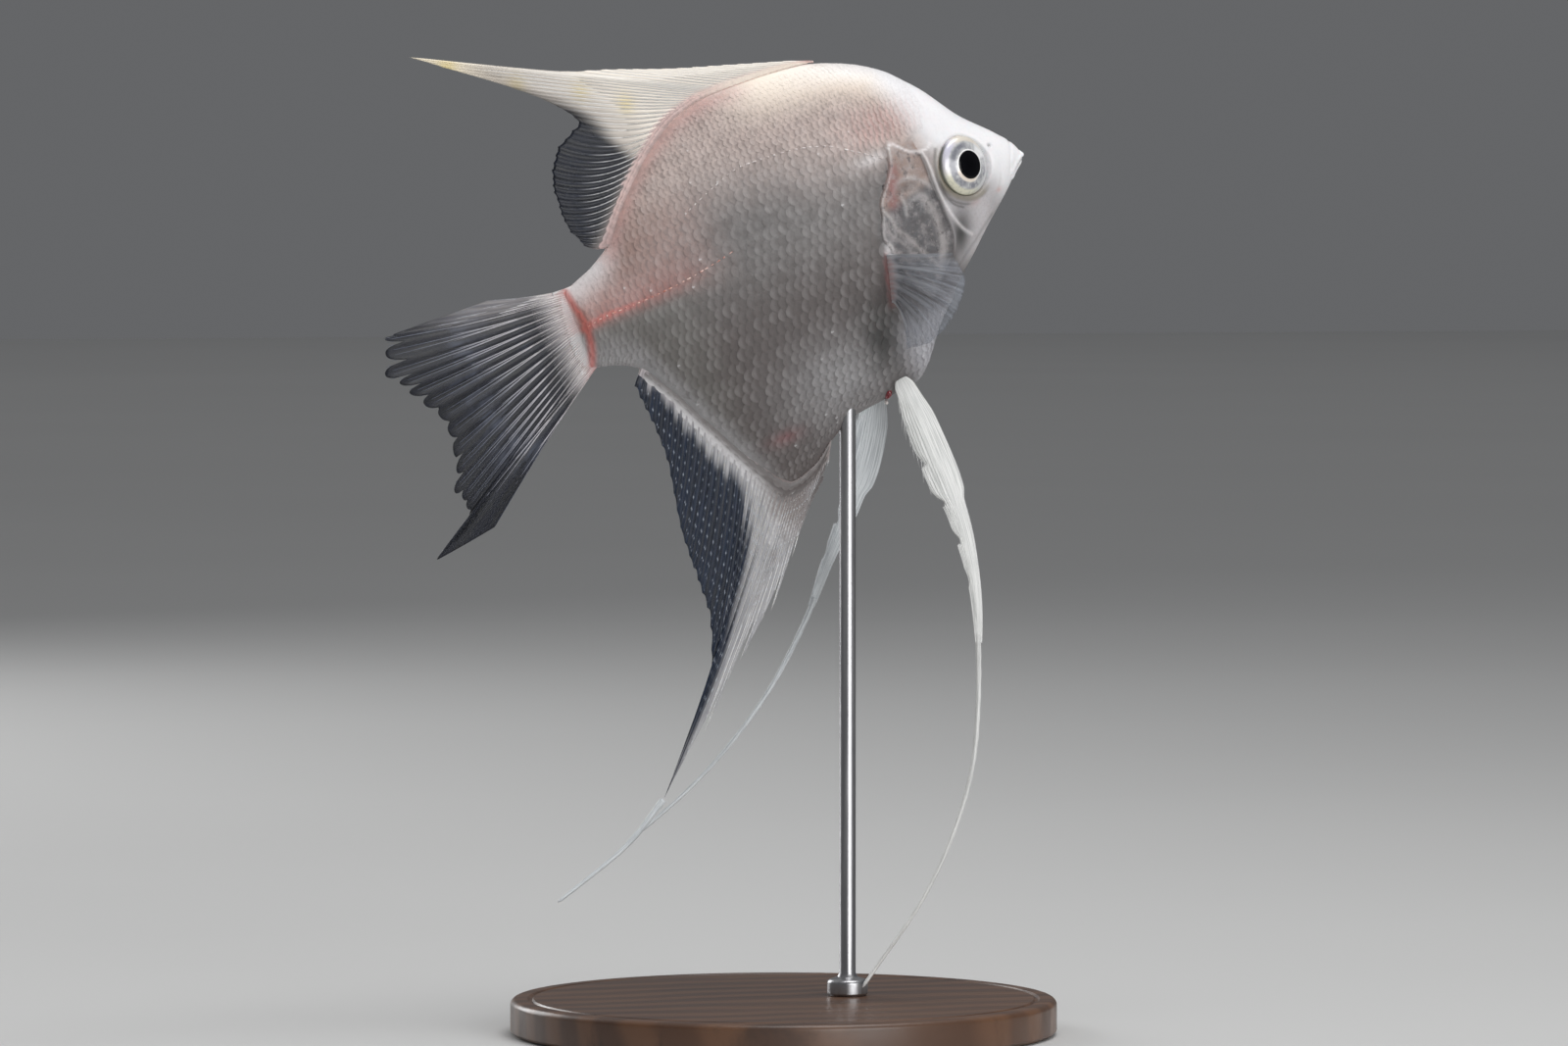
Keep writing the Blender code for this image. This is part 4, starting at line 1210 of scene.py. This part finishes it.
def web_finish(name, tint, clear_alpha, white, shade, ribbed):
    """A fin's web: white and solid where it is pigmented, smoky and see-through where it is clear."""
    finish = Finish(name, Coat_Weight=0.08, Coat_Roughness=0.22, IOR=1.36)
    mark, place = finish.mark, finish.place("weave")
    solid, band = mark("solid"), mark("band")
    grain = finish.noise(1.0, 4.0, 0.6, finish.stretched(place, 3.0, 0.12, 1.0))
    blotch = finish.noise(1.0, 3.0, 0.6, finish.stretched(place, 0.7, 0.3, 1.0))
    streak = grain.to(0.38, 0.62)
    light = tuple(min(255, round(1.3 * part + 8)) for part in tint)
    smoke = band * blotch.to(0.3, 0.65) * streak * 0.6
    clear = finish.mix(smoke, finish.mix(streak, tint, light), (92, 98, 114))
    pale = finish.layers(
        finish.mix(streak * ribbed, white, shade),
        (mark("warm"), (236, 218, 160)),
        (mark("blush"), (196, 128, 122)),
        (mark("fleshy"), (132, 122, 120)),
    )
    thin = grain.to(0.3, 0.7, clear_alpha - 0.08, clear_alpha + 0.1) + band * 0.18
    colour, roughness = finish.mix(solid, clear, pale), grain.to(0.3, 0.7, 0.32, 0.5)
    return finish.wear(colour, roughness, finish.bump(grain, 0.00007, 0.5), solid.to(0.0, 0.7, thin, 1.0))


def ray_finish(name, near, far, alpha_far, turn, fade=(0.35, 1.0)):
    """A fin's rays: from the near colour to the far one, and thinning, as they reach out."""
    finish = Finish(name, Coat_Weight=0.2, Coat_Roughness=0.25, IOR=1.45)
    mark, reach = finish.mark, finish.mark("reach")
    colour = finish.layers(
        finish.mix(reach.to(*turn), near, far),
        (mark("solid"), (236, 234, 231)),
        # Pale dots on the joints: painted highlights on their swellings
        (mark("dot"), (214, 222, 234)),
        (mark("blush"), (200, 130, 122)),
    )
    roughness = finish.noise(2.0).to(0.3, 0.7, 0.35, 0.5)
    return finish.wear(colour, roughness, alpha=reach.to(*fade, 1.0, alpha_far))


def fin_piece(name, built, finish, looks, node=None):
    """A fin's web or rays as a piece, with what looks says of its places added to its marks."""
    places, faces, marks = built
    plain = {word: np.zeros(len(places)) for word in ("solid", "warm", "blush", "band", "fleshy")}
    marks = {**marks, **plain, **looks(places, marks)}
    if "ray" in marks:
        marks["weave"] = np.stack([marks["ray"], marks["distance"], 0 * marks["ray"]], -1)
    obj = piece(name, (places, faces, marks), finish)
    if node:
        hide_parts(node)
    return obj


ANAL_SPOTS = ((54.6, -35.3), (54.2, -39.2), (56.6, -41.3))
def dorsal_looks(places, marks):
    back, _, up = places.T
    distance, share = marks["distance"], marks["share"]
    clear = DORSAL_CLEAR.near(back, up) + 1.8 * (scatter(np.floor(share * 31), 2) - 0.5)
    solid = np.where(share < 0.42, 1.0, most(1 - ramp(clear, -1.6, 1.0), 0.5 * hump(distance, 1.8)))
    patches = ((54.8, 28.4), (60.7, 32.4), (69.2, 36.8), (78.3, 42.4))
    warm = sum(hump(np.hypot(back - b, (up - u) * 0.8), 1.2) for b, u in patches)
    warm = np.clip(0.75 * warm + 0.3 * ramp(back, 66, 80), 0, 1)
    grey = 0.45 * ramp(clear, -6.0, -1.5) * (share > 0.3)
    return {"solid": solid, "warm": warm, "blush": 0.5 * hump(distance, 1.5), "fleshy": grey}


def anal_looks(places, marks):
    back, _, up = places.T
    distance, share = marks["distance"], marks["share"]
    clear = ANAL_CLEAR.near(back, up) + 1.5 * (scatter(np.floor(share * 53), 2) - 0.5)
    flesh = 0.9 * ramp(np.hypot((back - 51.5) / 4.2, (up + 33.0) / 9.5), 1.15, 0.35) + 0.12
    spots = sum(spot(back, up, middle, 0.4, 0.8) for middle in ANAL_SPOTS)
    root = 0.9 * ramp(distance, 4.5, 1.0) * ramp(back, 58, 53)
    flesh = np.clip(most(flesh, root) + 0.5 * spots, 0, 1)
    return {"solid": 1 - ramp(clear, -0.9, 1.1), "fleshy": flesh, "blush": 0.12 * hump(distance, 1.5)}


def tail_looks(places, marks):
    distance, share = marks["distance"], marks["share"]
    solid = 0.9 * ramp(distance, 7.0, 1.5) + 0.35 * hump(share, 0.1) * ramp(distance, 28, 10)
    band = hump(distance - 16.0 - 3.0 * np.sin(3 * share), 3.0) + 0.4 * hump(distance - 9.0, 1.6)
    return {"solid": np.clip(solid, 0, 1), "band": np.clip(band, 0, 1), "blush": 0.6 * hump(distance, 2.4)}


def spine_cut(ray, share):
    """Small steps along the stiff front of the dorsal fin, and soft scallops behind."""
    past = np.mod(ray, 1.0)
    front = 0.75 * np.sin(np.pi * past) ** 1.3
    before, after = scatter(np.floor(ray), 11), scatter(np.floor(ray) + 1, 11)
    rear = 0.16 * np.sin(np.pi * past) + 0.6 * (before + past * (after - before))
    return np.where(share < 0.38, front, rear)


def frayed_cut(ray, share):
    """Torn steps behind each spine of the anal fin's front, and soft scallops behind."""
    past = np.mod(ray, 1.0)
    step = np.interp(share, FRAYED, np.arange(len(FRAYED)))
    after = np.mod(step, 1.0)
    tear = np.where(after < 0.12, after / 0.12, 1 - 0.95 * (after - 0.12) / 0.88)
    front = (6.0 + 2.5 * scatter(np.floor(step), 4)) * tear + 0.25 * np.sin(np.pi * past)
    rear = (0.2 + 0.5 * scatter(np.floor(ray), 11)) * np.abs(np.sin(np.pi * past))
    return np.where((share > FRAYED[0]) & (share < FRAYED[-1]), front, rear)


def finger_cut(ray, share):
    """Rounded finger-like lobes about the tail fin's rays, deepest at its upper corner."""
    off = np.abs(np.mod(ray + 0.5, 1.0) - 0.5) * 2
    depth = 0.5 + 1.8 * hump(share - 0.14, 0.16) + 0.9 * scatter(np.round(ray), 6)
    lobes = depth * off**2.8 + 1.2 * scatter(np.round(ray), 8)
    return lobes * ramp(share, 0.045, 0.075) * ramp(share, 0.98, 0.9)


def make_fan_fin(name, fan, looks, web, web_look, rays, ray_look):
    """A fan fin's web and rays. It returns the rays' finish.

    web and rays are what membrane and fin_rays take after the fan, and the looks what the finishes take after
    the name."""
    web_made = web_finish(f"{name}_web", *web_look)
    fin_piece(f"{name}_fin_web", membrane(fan, *web), web_made, looks, f"{name}_fin")
    rays_made = ray_finish(f"{name}_rays", *ray_look)
    fin_piece(f"{name}_fin_rays", fin_rays(fan, *rays), rays_made, looks)
    return rays_made


def make_fan_fins():
    dorsal, anal, tail = dorsal_fan(), anal_fan(), tail_fan()
    make_fan_fin(
        "dorsal", dorsal, dorsal_looks,
        (spine_cut,),
        ((13, 17, 27), 0.84, (250, 242, 230), (214, 204, 194), 0.4),
        (0.19, 0.045, 0.004, (0.45,), 56, 1.6, 0.2, spine_shorts),
        ((236, 235, 236), (34, 40, 58), 0.8, (0.26, 0.8)),
    )
    make_fan_fin(
        "anal", anal, anal_looks,
        (frayed_cut, 7, 70),
        ((14, 24, 40), 0.84, (184, 184, 187), (128, 130, 136), 0.7),
        (0.13, 0.035, 0.004, (0.5,), 110, 1.7, 0.8, frayed_shorts, 0.6),
        ((128, 136, 152), (26, 38, 58), 0.9, (0.0, 0.4)),
    )
    tail_rays = make_fan_fin(
        "tail", tail, tail_looks,
        (finger_cut, 10, 60),
        ((15, 18, 27), 0.72, (214, 208, 208), (150, 150, 158), 0.5),
        (0.14, 0.04, 0.0155, (0.05, 0.3), 64, 2.3, 0.15, finger_shorts),
        ((220, 214, 216), (112, 118, 134), 0.85, (0.0, 0.9)),
    )
    make_tail_ray_bases(tail, tail_rays)
    return dorsal, anal


def make_tail_ray_bases(fan, finish):
    """The roots of the tail fin's rays, lying on both faces of the stalk's end."""
    distance = np.linspace(1.1, 6.5, 24)
    paths = []
    for share in np.linspace(0.03, 0.97, 40):
        path = fan.at(share, distance / fan.reach(share))
        back, _, up = path.T
        stalk = half_width_at(np.minimum(back, LENGTH - 0.2), up) * tail_pinch(back)
        out = np.where(back < LENGTH + TAIL_WRAP, np.maximum(stalk, 0.12), 0.12)[:, None]
        paths += [path + out * (0, side, 0) for side in SIDES.values()]
    number = np.arange(len(paths))[:, None]
    ends = 3.8 + 2.7 * scatter(number, 8)
    radii = 0.08 * (0.2 + 0.8 * ramp(distance, 1.1, 2.4)) * (0.15 + 0.85 * ramp(distance / ends, 1.0, 0.5))
    radii *= 0.6 + 0.7 * scatter(number, 3)
    past = distance + 1.0
    built = tubes(np.array(paths), radii, distance=past, reach=past / 24, share=0.5, dot=0.0)
    fin_piece("tail_fin_ray_bases", built, finish, tail_looks)


def spine_shorts(number, share):
    return 0.05 if share < 0.38 else 0.9


def frayed_shorts(number, share):
    return 0.1 + 0.9 * float(frayed_cut(np.array(float(number)), np.array(share))) * (share < FRAYED[-1])


def finger_shorts(number, share):
    return 0.4 + float(finger_cut(np.array(float(number)), np.array(share)))


# The scaled sheaths on the fins' bases


def make_sheath(name, fan, root, height, side, finish):
    """Small scales on one face of a fin, from its root outward, as far as height says, in mm."""
    width = abs(root[1] - root[0])
    pitch, step = 0.78, 0.95

    def place_at(distance, along):
        share = along / width
        return fan.at(share, distance / np.maximum(fan.reach(share), 1.0))

    def frame_of(distance, along):
        place, normal = surface_frame(place_at, distance, along, 0.2)
        normal = normal * np.sign(normal[..., 1:2]) * side
        web = 0.07 + 0.19 * np.exp(-np.maximum(distance, 0) / 1.2)
        return place + web[..., None] * normal, normal

    rows = []
    for j, distance in enumerate(np.arange(-0.4, 12, pitch)):
        along = np.arange(1.5, width - 0.8, step) + 0.5 * step * (j % 2)
        along = along[distance < height(along / width)]
        fade = 1 - 0.35 * distance / 12
        stand = 0.5 * ramp(height(along / width) - distance, -0.4, 2.5)
        row = (distance, along, 1.9 * pitch * fade, 1.4 * step * fade, stand)
        rows.append(np.stack(np.broadcast_arrays(*row), -1))
    roots = np.concatenate(rows)
    middle = np.stack([0.02 + 0.9 * roots[:, 1] / width, 0.5 + 0.2 * side + 0.01 * roots[:, 0]], -1)

    def marks_of(places):
        back, _, up = places.T
        return {word: np.zeros(len(back)) for word in MARKS} | sheath_marks(name, back, up)

    word = "left" if side > 0 else "right"
    scale_piece(f"{name}_{word}", roots, frame_of, side, marks_of, finish, middle)


def sheath_marks(name, back, up):
    """Markings of the sheaths: the dorsal one is pinkish white, and the anal one greys into the fin."""
    if name == "dorsal_sheath":
        return {
            "upper": 1 - ramp(back, 60, 66),
            "cream": 0.8 * ramp(back, 50, 38),
            "pink": 0.6 * ramp(back, 36, 46),
            "white": 0.35 * ramp(up - TOP(back), 0.6, 2.4),
        }
    out = BOTTOM(back) - up
    spots = sum(spot(back, up, middle, 0.45, 0.8) for middle in ANAL_SPOTS)
    spots = spots + 0.6 * hump(np.mod(out, 2.0) - 1.0, 0.25) * hump(back - 53, 2.0)
    white = most(0.5 * ramp(out, 2.5, 9.0), 0.6 * ramp(back, 52, 57) * ramp(out, -0.5, 2.5))
    white = white * most(ramp(back, 50, 55), ramp(out, 3.0, 7.0))
    return {"belly": 0.5 * ramp(out, 1.0, 5.0), "white": white, "dark": np.clip(0.5 * spots, 0, 1)}


class Blade:
    """A pelvic fin's broad part: places by share down it and way across it, from front edge to rear edge."""

    def __init__(self, word):
        self.side = SIDES[word]
        self.line, self.whole = track(PELVIC_LINE[word])
        self.length = PELVIC_BLADE[word]

    def half(self, share):
        distance = share * self.length
        root = 0.72 * np.sqrt(ramp(distance, 2.9, 4.8)) + 0.28 * ramp(distance, 4.5, 10.0)
        return PELVIC_WIDTH(share) / 2 * (0.1 + 0.9 * root)

    def notch(self, share):
        """Steps where the rear edge's rays end one after another."""
        step = np.mod(share * 7.0 + 0.35, 1.0)
        return 0.75 * ramp(step, 0.55, 1.0) * ramp(share, 0.2, 0.3) * ramp(share, 0.85, 0.7)

    def at(self, share, across, lift=0.0):
        share, across = np.broadcast_arrays(share, across)
        distance = share * self.length
        back, side, up = np.moveaxis(self.line(distance), -1, 0)
        run = unit((self.line(distance + 0.4) - self.line(distance - 0.4)) * (1, 0, 1))
        half = self.half(share)
        edge = 1 - self.notch(share) / half
        reach = half * np.where(across > 0.55, 0.55 + (across - 0.55) / 0.45 * (edge - 0.55), across)
        cup = (0.5 * (1 - across**2) * half / 2.6 + lift) * self.side
        rise = 1.0 - 0.45 * ramp(distance, 6.0, 1.0)
        return np.stack([back - run[..., 2] * reach, side * rise + cup, up + run[..., 0] * reach], -1)


def blade_web(blade, steps=130, columns=34):
    share = np.linspace(0.0, 1, steps)[:, None]
    across = np.sin(np.linspace(-TAU / 4, TAU / 4, columns))
    thickness = 0.16 + 0.28 * ramp(across, 0.7, -1.0) + 0.25 * ramp(share * blade.length, 8.0, 3.0)
    thickness *= 0.4 + 0.6 * ramp(1 - np.abs(across), 0.0, 0.1)
    return sheet(blade.at(share, across), thickness, distance=share * blade.length, ray=5 * across)


def blade_rays(blade, steps=90):
    """Fine ribs down both faces of the blade, and frayed tips standing off its rear edge near the root."""
    paths, radii = [], []
    share = np.linspace(0.09, 0.985, steps)
    for number, across in enumerate(np.linspace(-0.86, 0.86, 11)):
        for lift in (-0.09, 0.09):
            paths.append(blade.at(share, across * (1 - 0.25 * ramp(share, 0.3, 1.0)), lift))
            radii.append((0.1 - 0.05 * share) * (0.8 + 0.4 * scatter(number, 5)) * ramp(share, 0.08, 0.14))
    way = np.linspace(0, 1, steps)[:, None]
    for number in range(16):
        start = 0.12 + 0.022 * number + 0.01 * scatter(number, 1)
        origin = blade.at(start, 0.9)
        down = unit(blade.at(start + 0.05, 0.9) - origin)
        away = unit(blade.at(start, 1.0) - blade.at(start, 0.0))
        reach = (1.5 + 1.6 * scatter(number, 2)) * way
        paths.append(origin + down * reach + away * (0.1 + 0.22 * scatter(number, 3)) * reach)
        radii.append(0.06 * (1 - 0.85 * way[:, 0]))
    number = np.arange(len(paths))[:, None]
    return tubes(np.array(paths), np.maximum(radii, 0.012), distance=share * blade.length, ray=number)


def white_looks(places, marks):
    return {"solid": np.ones(len(places))}


def filament(name, line, start, end, radii, finish, node, steps=70, sides=10):
    """A trailing filament, tapering, and rounded at its tip."""
    distance = np.linspace(start, end, steps)
    radius = np.interp(np.linspace(0, 1, steps), np.linspace(0, 1, len(radii)), radii)
    radius = radius * (1 + 0.05 * np.sin(distance * 2.1))
    radius *= 0.3 + 0.7 * ramp(end - distance, 0.0, 0.8)
    places, faces, marks = tubes(line(distance)[None], radius[None], sides, distance=distance)
    marks["ray"] = np.tile(TAU * np.arange(sides) / sides, steps)
    return fin_piece(name, (places, faces, marks), finish, white_looks, node)


def make_pelvic_fins():
    finishes = {
        # The far fin's copy is the same white painted greyer as painted shade; the anal filament wears it too
        "left": web_finish("pelvic_grey", (60, 60, 64), 0.8, (224, 228, 230), (172, 177, 181), 0.8),
        "right": web_finish("pelvic_white", (60, 60, 64), 0.8, (238, 238, 236), (188, 190, 188), 0.8),
    }
    for word, finish in finishes.items():
        blade = Blade(word)
        fin_piece(f"pelvic_blade_{word}", blade_web(blade), finish, white_looks, f"pelvic_fin_{word}")
        fin_piece(f"pelvic_rays_{word}", blade_rays(blade), finish, white_looks)
        start, upper = blade.length - 1.5, f"pelvic_streamer_{word}_upper"
        name = f"pelvic_filament_{word}"
        whole = filament(name, blade.line, start, blade.whole, STREAMER_RADII, finish, upper, steps=130)
        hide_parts(f"pelvic_streamer_{word}_lower")
    line, length = track(ANAL_STREAMER_LINE)
    filament("anal_filament", line, 0.0, length, (0.5, 0.36, 0.26), finishes["left"], "anal_streamer")


def make_pelvic_spot():
    """The small blood-red spot with a white tip between the pelvic fins' roots."""
    spots = {"red": (31.9, -25.3, 0.95, (138, 34, 46)), "tip": (32.4, -26.6, 0.36, (240, 232, 228))}
    way = np.linspace(-1, 1, 9)
    for word, (back, up, size, colour) in spots.items():
        full = srgb(*colour)
        dim = tuple(0.6 * part for part in full[:3]) + (1.0,)
        finish = glossy_finish(f"pelvic_spot_{word}", dim, full, (0.6, 0.08), 1.8, 0.25)
        path = np.stack([back + 0.3 * size * way, 0 * way, up - size * way], -1)
        radii = 0.7 * size * np.sqrt(np.clip(1.02 - way**2, 0.01, 1))
        piece(f"pelvic_spot_{word}", tubes(path[None], radii[None], 12, flatness=2.4), finish)


def pectoral_place(side, share, out):
    back = PECTORAL_ROOT[0] + 1.4 * share
    up = PECTORAL_ROOT[1] - PECTORAL_ROOT_HEIGHT * share
    sideways = half_width_at(back, up) + 0.35 + PECTORAL_OUT(share) * np.sin(out * np.pi / 2)
    ahead = PECTORAL_AHEAD(share) * np.maximum(out, 0) ** 1.3
    drop = PECTORAL_UP(share) * np.maximum(out, 0) ** 1.3
    return np.stack([back - ahead, side * sideways, up + drop - 0.5 * (1 - share) * out], -1)


PECTORAL_REACH = 9.5
def pectoral_looks(places, marks):
    distance, share = marks["distance"], marks["share"]
    ribs = 0.42 * hump(np.mod(share * 5.0 + 0.4, 1.0) - 0.5, 0.26) * ramp(distance, 9.8, 3.5)
    low = 0.6 * hump(share - 1.0, 0.035) * ramp(distance, 8.0, 4.0)
    speckle = 0.75 + 0.25 * np.sin(places[:, 2] * 9.0)
    blush = 0.5 * hump(distance - 0.1, 0.7) * ramp(share, 0.04, 0.14) * speckle * ramp(share, 1.0, 0.9)
    thin = -1.2 * ramp(share, 0.16, 0.0) * ramp(distance, 0.6, 3.0)
    return {"solid": np.clip(0.85 * hump(distance, 1.1) + ribs + low, 0, 1), "blush": blush, "band": thin}


def pectoral_web(side, rays, per_ray=6, rows=34):
    ray = np.linspace(0, rays - 1, (rays - 1) * per_ray + 1)
    share = ray / (rays - 1)
    out = np.linspace(-0.1, 1, rows)[:, None] * (1 - 0.012 * np.abs(np.sin(np.pi * ray)))
    grid = pectoral_place(side, share + 0 * out, out)
    grid[..., 0] += 0.03 * np.cos(TAU * ray)
    distance = np.maximum(out, 0) * PECTORAL_REACH
    thickness = (0.1 + 0.5 * np.exp(-distance / 0.8)) * (0.4 + 0.6 * ramp(PECTORAL_REACH - distance, 0, 0.6))
    places, faces, marks = sheet(grid, thickness, share=share, distance=distance, ray=ray)
    return places, faces[:, ::-1] if side < 0 else faces, marks


def pectoral_rays(side, rays):
    way = np.linspace(-0.1, 0.975, 44)
    share = np.repeat(np.linspace(0, 1, rays), 2)[:, None]
    turn = np.tile([-1, 1], rays)[:, None]
    across = np.clip(share + turn * 0.014 * ramp(way, 0.35, 1.0), 0, 1)
    radii = (0.085 - 0.06 * np.clip(way, 0, 1) ** 0.7) * (0.25 + 0.75 * ramp(share, 0.0, 0.2))
    paths = pectoral_place(side, across, way + 0 * across)
    marks = {"distance": way * PECTORAL_REACH, "reach": way, "share": share, "dot": 0.0}
    return tubes(paths, radii, across=(0, 0, 1), **marks)


def make_pectoral_fins(rays=13):
    web = web_finish("pectoral_web", (112, 116, 124), 0.27, (206, 206, 210), (176, 178, 184), 0.3)
    ray_look = ray_finish("pectoral_rays", (206, 202, 202), (150, 156, 168), 0.16, (0.1, 0.7), (0.02, 0.3))
    for word, side in SIDES.items():
        made = pectoral_web(side, rays)
        fin_piece(f"pectoral_web_{word}", made, web, pectoral_looks, f"pectoral_fin_{word}")
        fin_piece(f"pectoral_rays_{word}", pectoral_rays(side, rays), ray_look, pectoral_looks)


# Stand


def turned(name, profile, finish, node, middle, steps=128):
    """A turned piece of the stand: (radius, height) pairs in metres from its top's middle to its foot's."""
    radius, height = np.array(profile).T[..., None]
    angle = TAU * np.arange(steps) / steps
    x = middle.x + radius * np.cos(angle)
    y = middle.y + radius * np.sin(angle)
    points = np.stack([x, y, height + 0 * x], -1).reshape(-1, 3)
    faces = [face[::-1] for face in tube_faces(len(profile), steps)]
    obj = add_object(name, new_mesh(name, points, faces, finish, 35))
    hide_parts(node)


def walnut():
    finish = Finish("walnut", Coat_Weight=0.3, Coat_Roughness=0.22)
    place = finish.node("TexCoord", {}, "Object")
    bend = finish.noise(22.0, 2.0, 0.5, place)
    grain = finish.noise(1.0, 6.0, 0.62, finish.stretched(place, 24, 300, 90))
    inputs = {"Vector": place, "Scale": 42.0, "Distortion": 7.0, "Detail": 3.0, "Detail Scale": 0.5}
    rings = finish.node("TexWave", inputs, "Fac", wave_type="BANDS", bands_direction="Y")
    pores = grain.to(0.52, 0.68)
    colour = finish.layers(
        finish.mix(rings.to(0.2, 0.9), (74, 50, 36), (98, 68, 48)),
        (pores * 0.55, (44, 30, 22)),
        (bend.to(0.35, 0.7) * 0.25, (122, 86, 60)),
    )
    return finish.wear(colour, grain.to(0.3, 0.7, 0.34, 0.52), finish.bump(pores, 0.0001, -0.4))


def steel():
    finish = Finish("brushed_steel", Metallic=1.0)
    place = finish.node("TexCoord", {}, "Object")
    lines = finish.noise(1.0, 3.0, 0.5, finish.stretched(place, 2600, 2600, 60))
    colour = finish.mix(lines, (158, 158, 160), (190, 190, 192))
    return finish.wear(colour, lines.to(0.2, 0.8, 0.28, 0.42), finish.bump(lines, 0.00001, 0.3))


def arc_profile(middle, radius, start):
    """(radius, height) pairs round from start degrees up to level."""
    turns = np.linspace(math.radians(start), 0, 6)
    return [(middle[0] + radius * math.cos(turn), middle[1] + radius * math.sin(turn)) for turn in turns]


def make_stand():
    low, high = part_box("stand_base")
    radius, top = (high.x - low.x) / 2, high.z
    soft = 0.0009
    groove = ((0.0034, 0), (0.0032, 0.0003), (0.0028, 0.0003), (0.0025, 0))
    profile = [(0.0002, top), *((radius - inward, top - deep) for inward, deep in groove)]
    profile += arc_profile((radius - soft, top - soft), soft, 90)
    profile += [(radius, 0.0005), (radius - 0.0005, 0.0), (0.0002, 0.0)]
    turned("stand_base_turned", profile, walnut(), "stand_base", (low + high) / 2, steps=192)
    low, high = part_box("stand_rod")
    rod, collar = 0.0012, (high.x - low.x) / 2
    profile = [(0.0002, high.z), (rod - 0.0003, high.z), (rod, high.z - 0.0003), (rod, top + 0.0034)]
    profile += [(rod + 0.0003, top + 0.0028), *arc_profile((collar - 0.0007, top + 0.0018), 0.0007, 80)]
    profile += [(collar, top + 0.0004), (collar - 0.0003, top), (0.0002, top)]
    turned("stand_rod_turned", profile, steel(), "stand_rod", (low + high) / 2, steps=48)


# Stage, lights and camera

VIEW_AZIMUTH = math.radians(-20)
VIEW_UP = math.radians(2.0)
DISTANCE = 1.2
FRAME_WIDTH = 0.2247  # what the picture's width takes in at the fish
ZOOM_OUT = 1.03
SENSOR = 36.0
AIM_BEHIND = 0.0347  # how far the picture's middle is from the snout, in metres
AIM_BELOW = 0.0492
SHIFT_UP = -0.022
FLOOR_REACH = 6.0
FLOOR_BELOW = 0.0002  # the floor lies this far under the stand's foot


def make_stage():
    mesh = bpy.data.meshes.new("floor")
    corners = [(x * FLOOR_REACH, y * FLOOR_REACH, 0) for x, y in ((-1, -1), (1, -1), (1, 1), (-1, 1))]
    mesh.from_pydata(corners, [], [(0, 1, 2, 3)])
    finish = Finish("floor")
    cloth = finish.noise(3.0, 3.0, 0.5, finish.node("TexCoord", {}, "Object"))
    colour = finish.mix(cloth, (206, 206, 205), (212, 212, 211))
    mesh.materials.append(finish.wear(colour, cloth.to(0, 1, 0.7, 0.8)))
    obj = placed("floor", mesh)
    obj.location.z = -FLOOR_BELOW
    world = bpy.data.worlds.new("studio")
    world.use_nodes = True
    sky = world.node_tree.nodes["Background"].inputs
    sky["Color"].default_value = srgb(226, 228, 232)
    sky["Strength"].default_value = 0.17
    bpy.context.scene.world = world


def softbox(name, size, place, aim, power):
    light = bpy.data.lights.new(name, "AREA")
    light.shape = "RECTANGLE"
    light.size, light.size_y = size
    light.energy = power
    obj = placed(name, light)
    obj.location = place
    obj.rotation_euler = (Vector(place) - Vector(aim)).to_track_quat("Z", "Y").to_euler()
    obj.visible_camera = False


def make_lights():
    aim = (0.0, 0.0, 0.09)
    softbox("ceiling", (9.0, 9.0), (0.0, 2.0, 4.0), (0.0, 2.0, 0.0), 42.0)
    softbox("top", (0.45, 0.45), (0.1, -0.12, 0.72), aim, 2.7)
    softbox("front", (0.6, 0.5), (0.2, -0.95, 0.28), aim, 4.9)
    softbox("rear", (0.5, 0.5), (-0.35, 0.9, 0.35), aim, 3.4)


def make_camera():
    """Looks at the fish from its right side, a little from behind, framed as it was seen."""
    camera = bpy.data.cameras.new("camera")
    obj = placed("camera", camera)
    right = Vector((math.cos(VIEW_AZIMUTH), math.sin(VIEW_AZIMUTH), 0))
    level = Vector((math.sin(VIEW_AZIMUTH), -math.cos(VIEW_AZIMUTH), 0))
    toward = level * math.cos(VIEW_UP) + Vector((0, 0, math.sin(VIEW_UP)))
    aim = Vector(SNOUT) - right * AIM_BEHIND - Vector((0, 0, AIM_BELOW))
    obj.location = aim + toward * DISTANCE
    obj.rotation_euler = toward.to_track_quat("Z", "Y").to_euler()
    camera.sensor_width = SENSOR
    camera.lens = SENSOR * DISTANCE / (FRAME_WIDTH * ZOOM_OUT)
    camera.shift_y = SHIFT_UP
    camera.clip_start, camera.clip_end = 0.05, 30.0
    bpy.context.scene.camera = obj


def main():
    make_camera()
    make_stage()
    make_lights()
    bpy.context.scene.view_settings.view_transform = "Standard"
    chart = Chart()
    make_skin(skin_finish())
    coat = scale_finish()
    eye_finishes = {"iris": iris_finish(), "pupil": pupil_finish()}
    dorsal, anal = make_fan_fins()
    dorsal_height = smooth((0, 0.4), (0.2, 1.0), (0.5, 1.5), (0.8, 1.2), (1, 0.5))
    anal_height = smooth((0, 2.0), (0.08, 5.5), (0.2, 9.5), (0.34, 9.0), (0.45, 3.5), (0.6, 1.8), (1, 0.8))
    for word, side in SIDES.items():
        make_scales(word, side, chart, coat)
        make_eye(word, side, eye_finishes)
        make_sheath("dorsal_sheath", dorsal, DORSAL_ROOT, dorsal_height, side, coat)
        make_sheath("anal_sheath", anal, ANAL_ROOT, anal_height, side, coat)
    make_lateral_lines(chart)
    make_pelvic_fins()
    make_pelvic_spot()
    make_pectoral_fins()
    make_stand()


main()
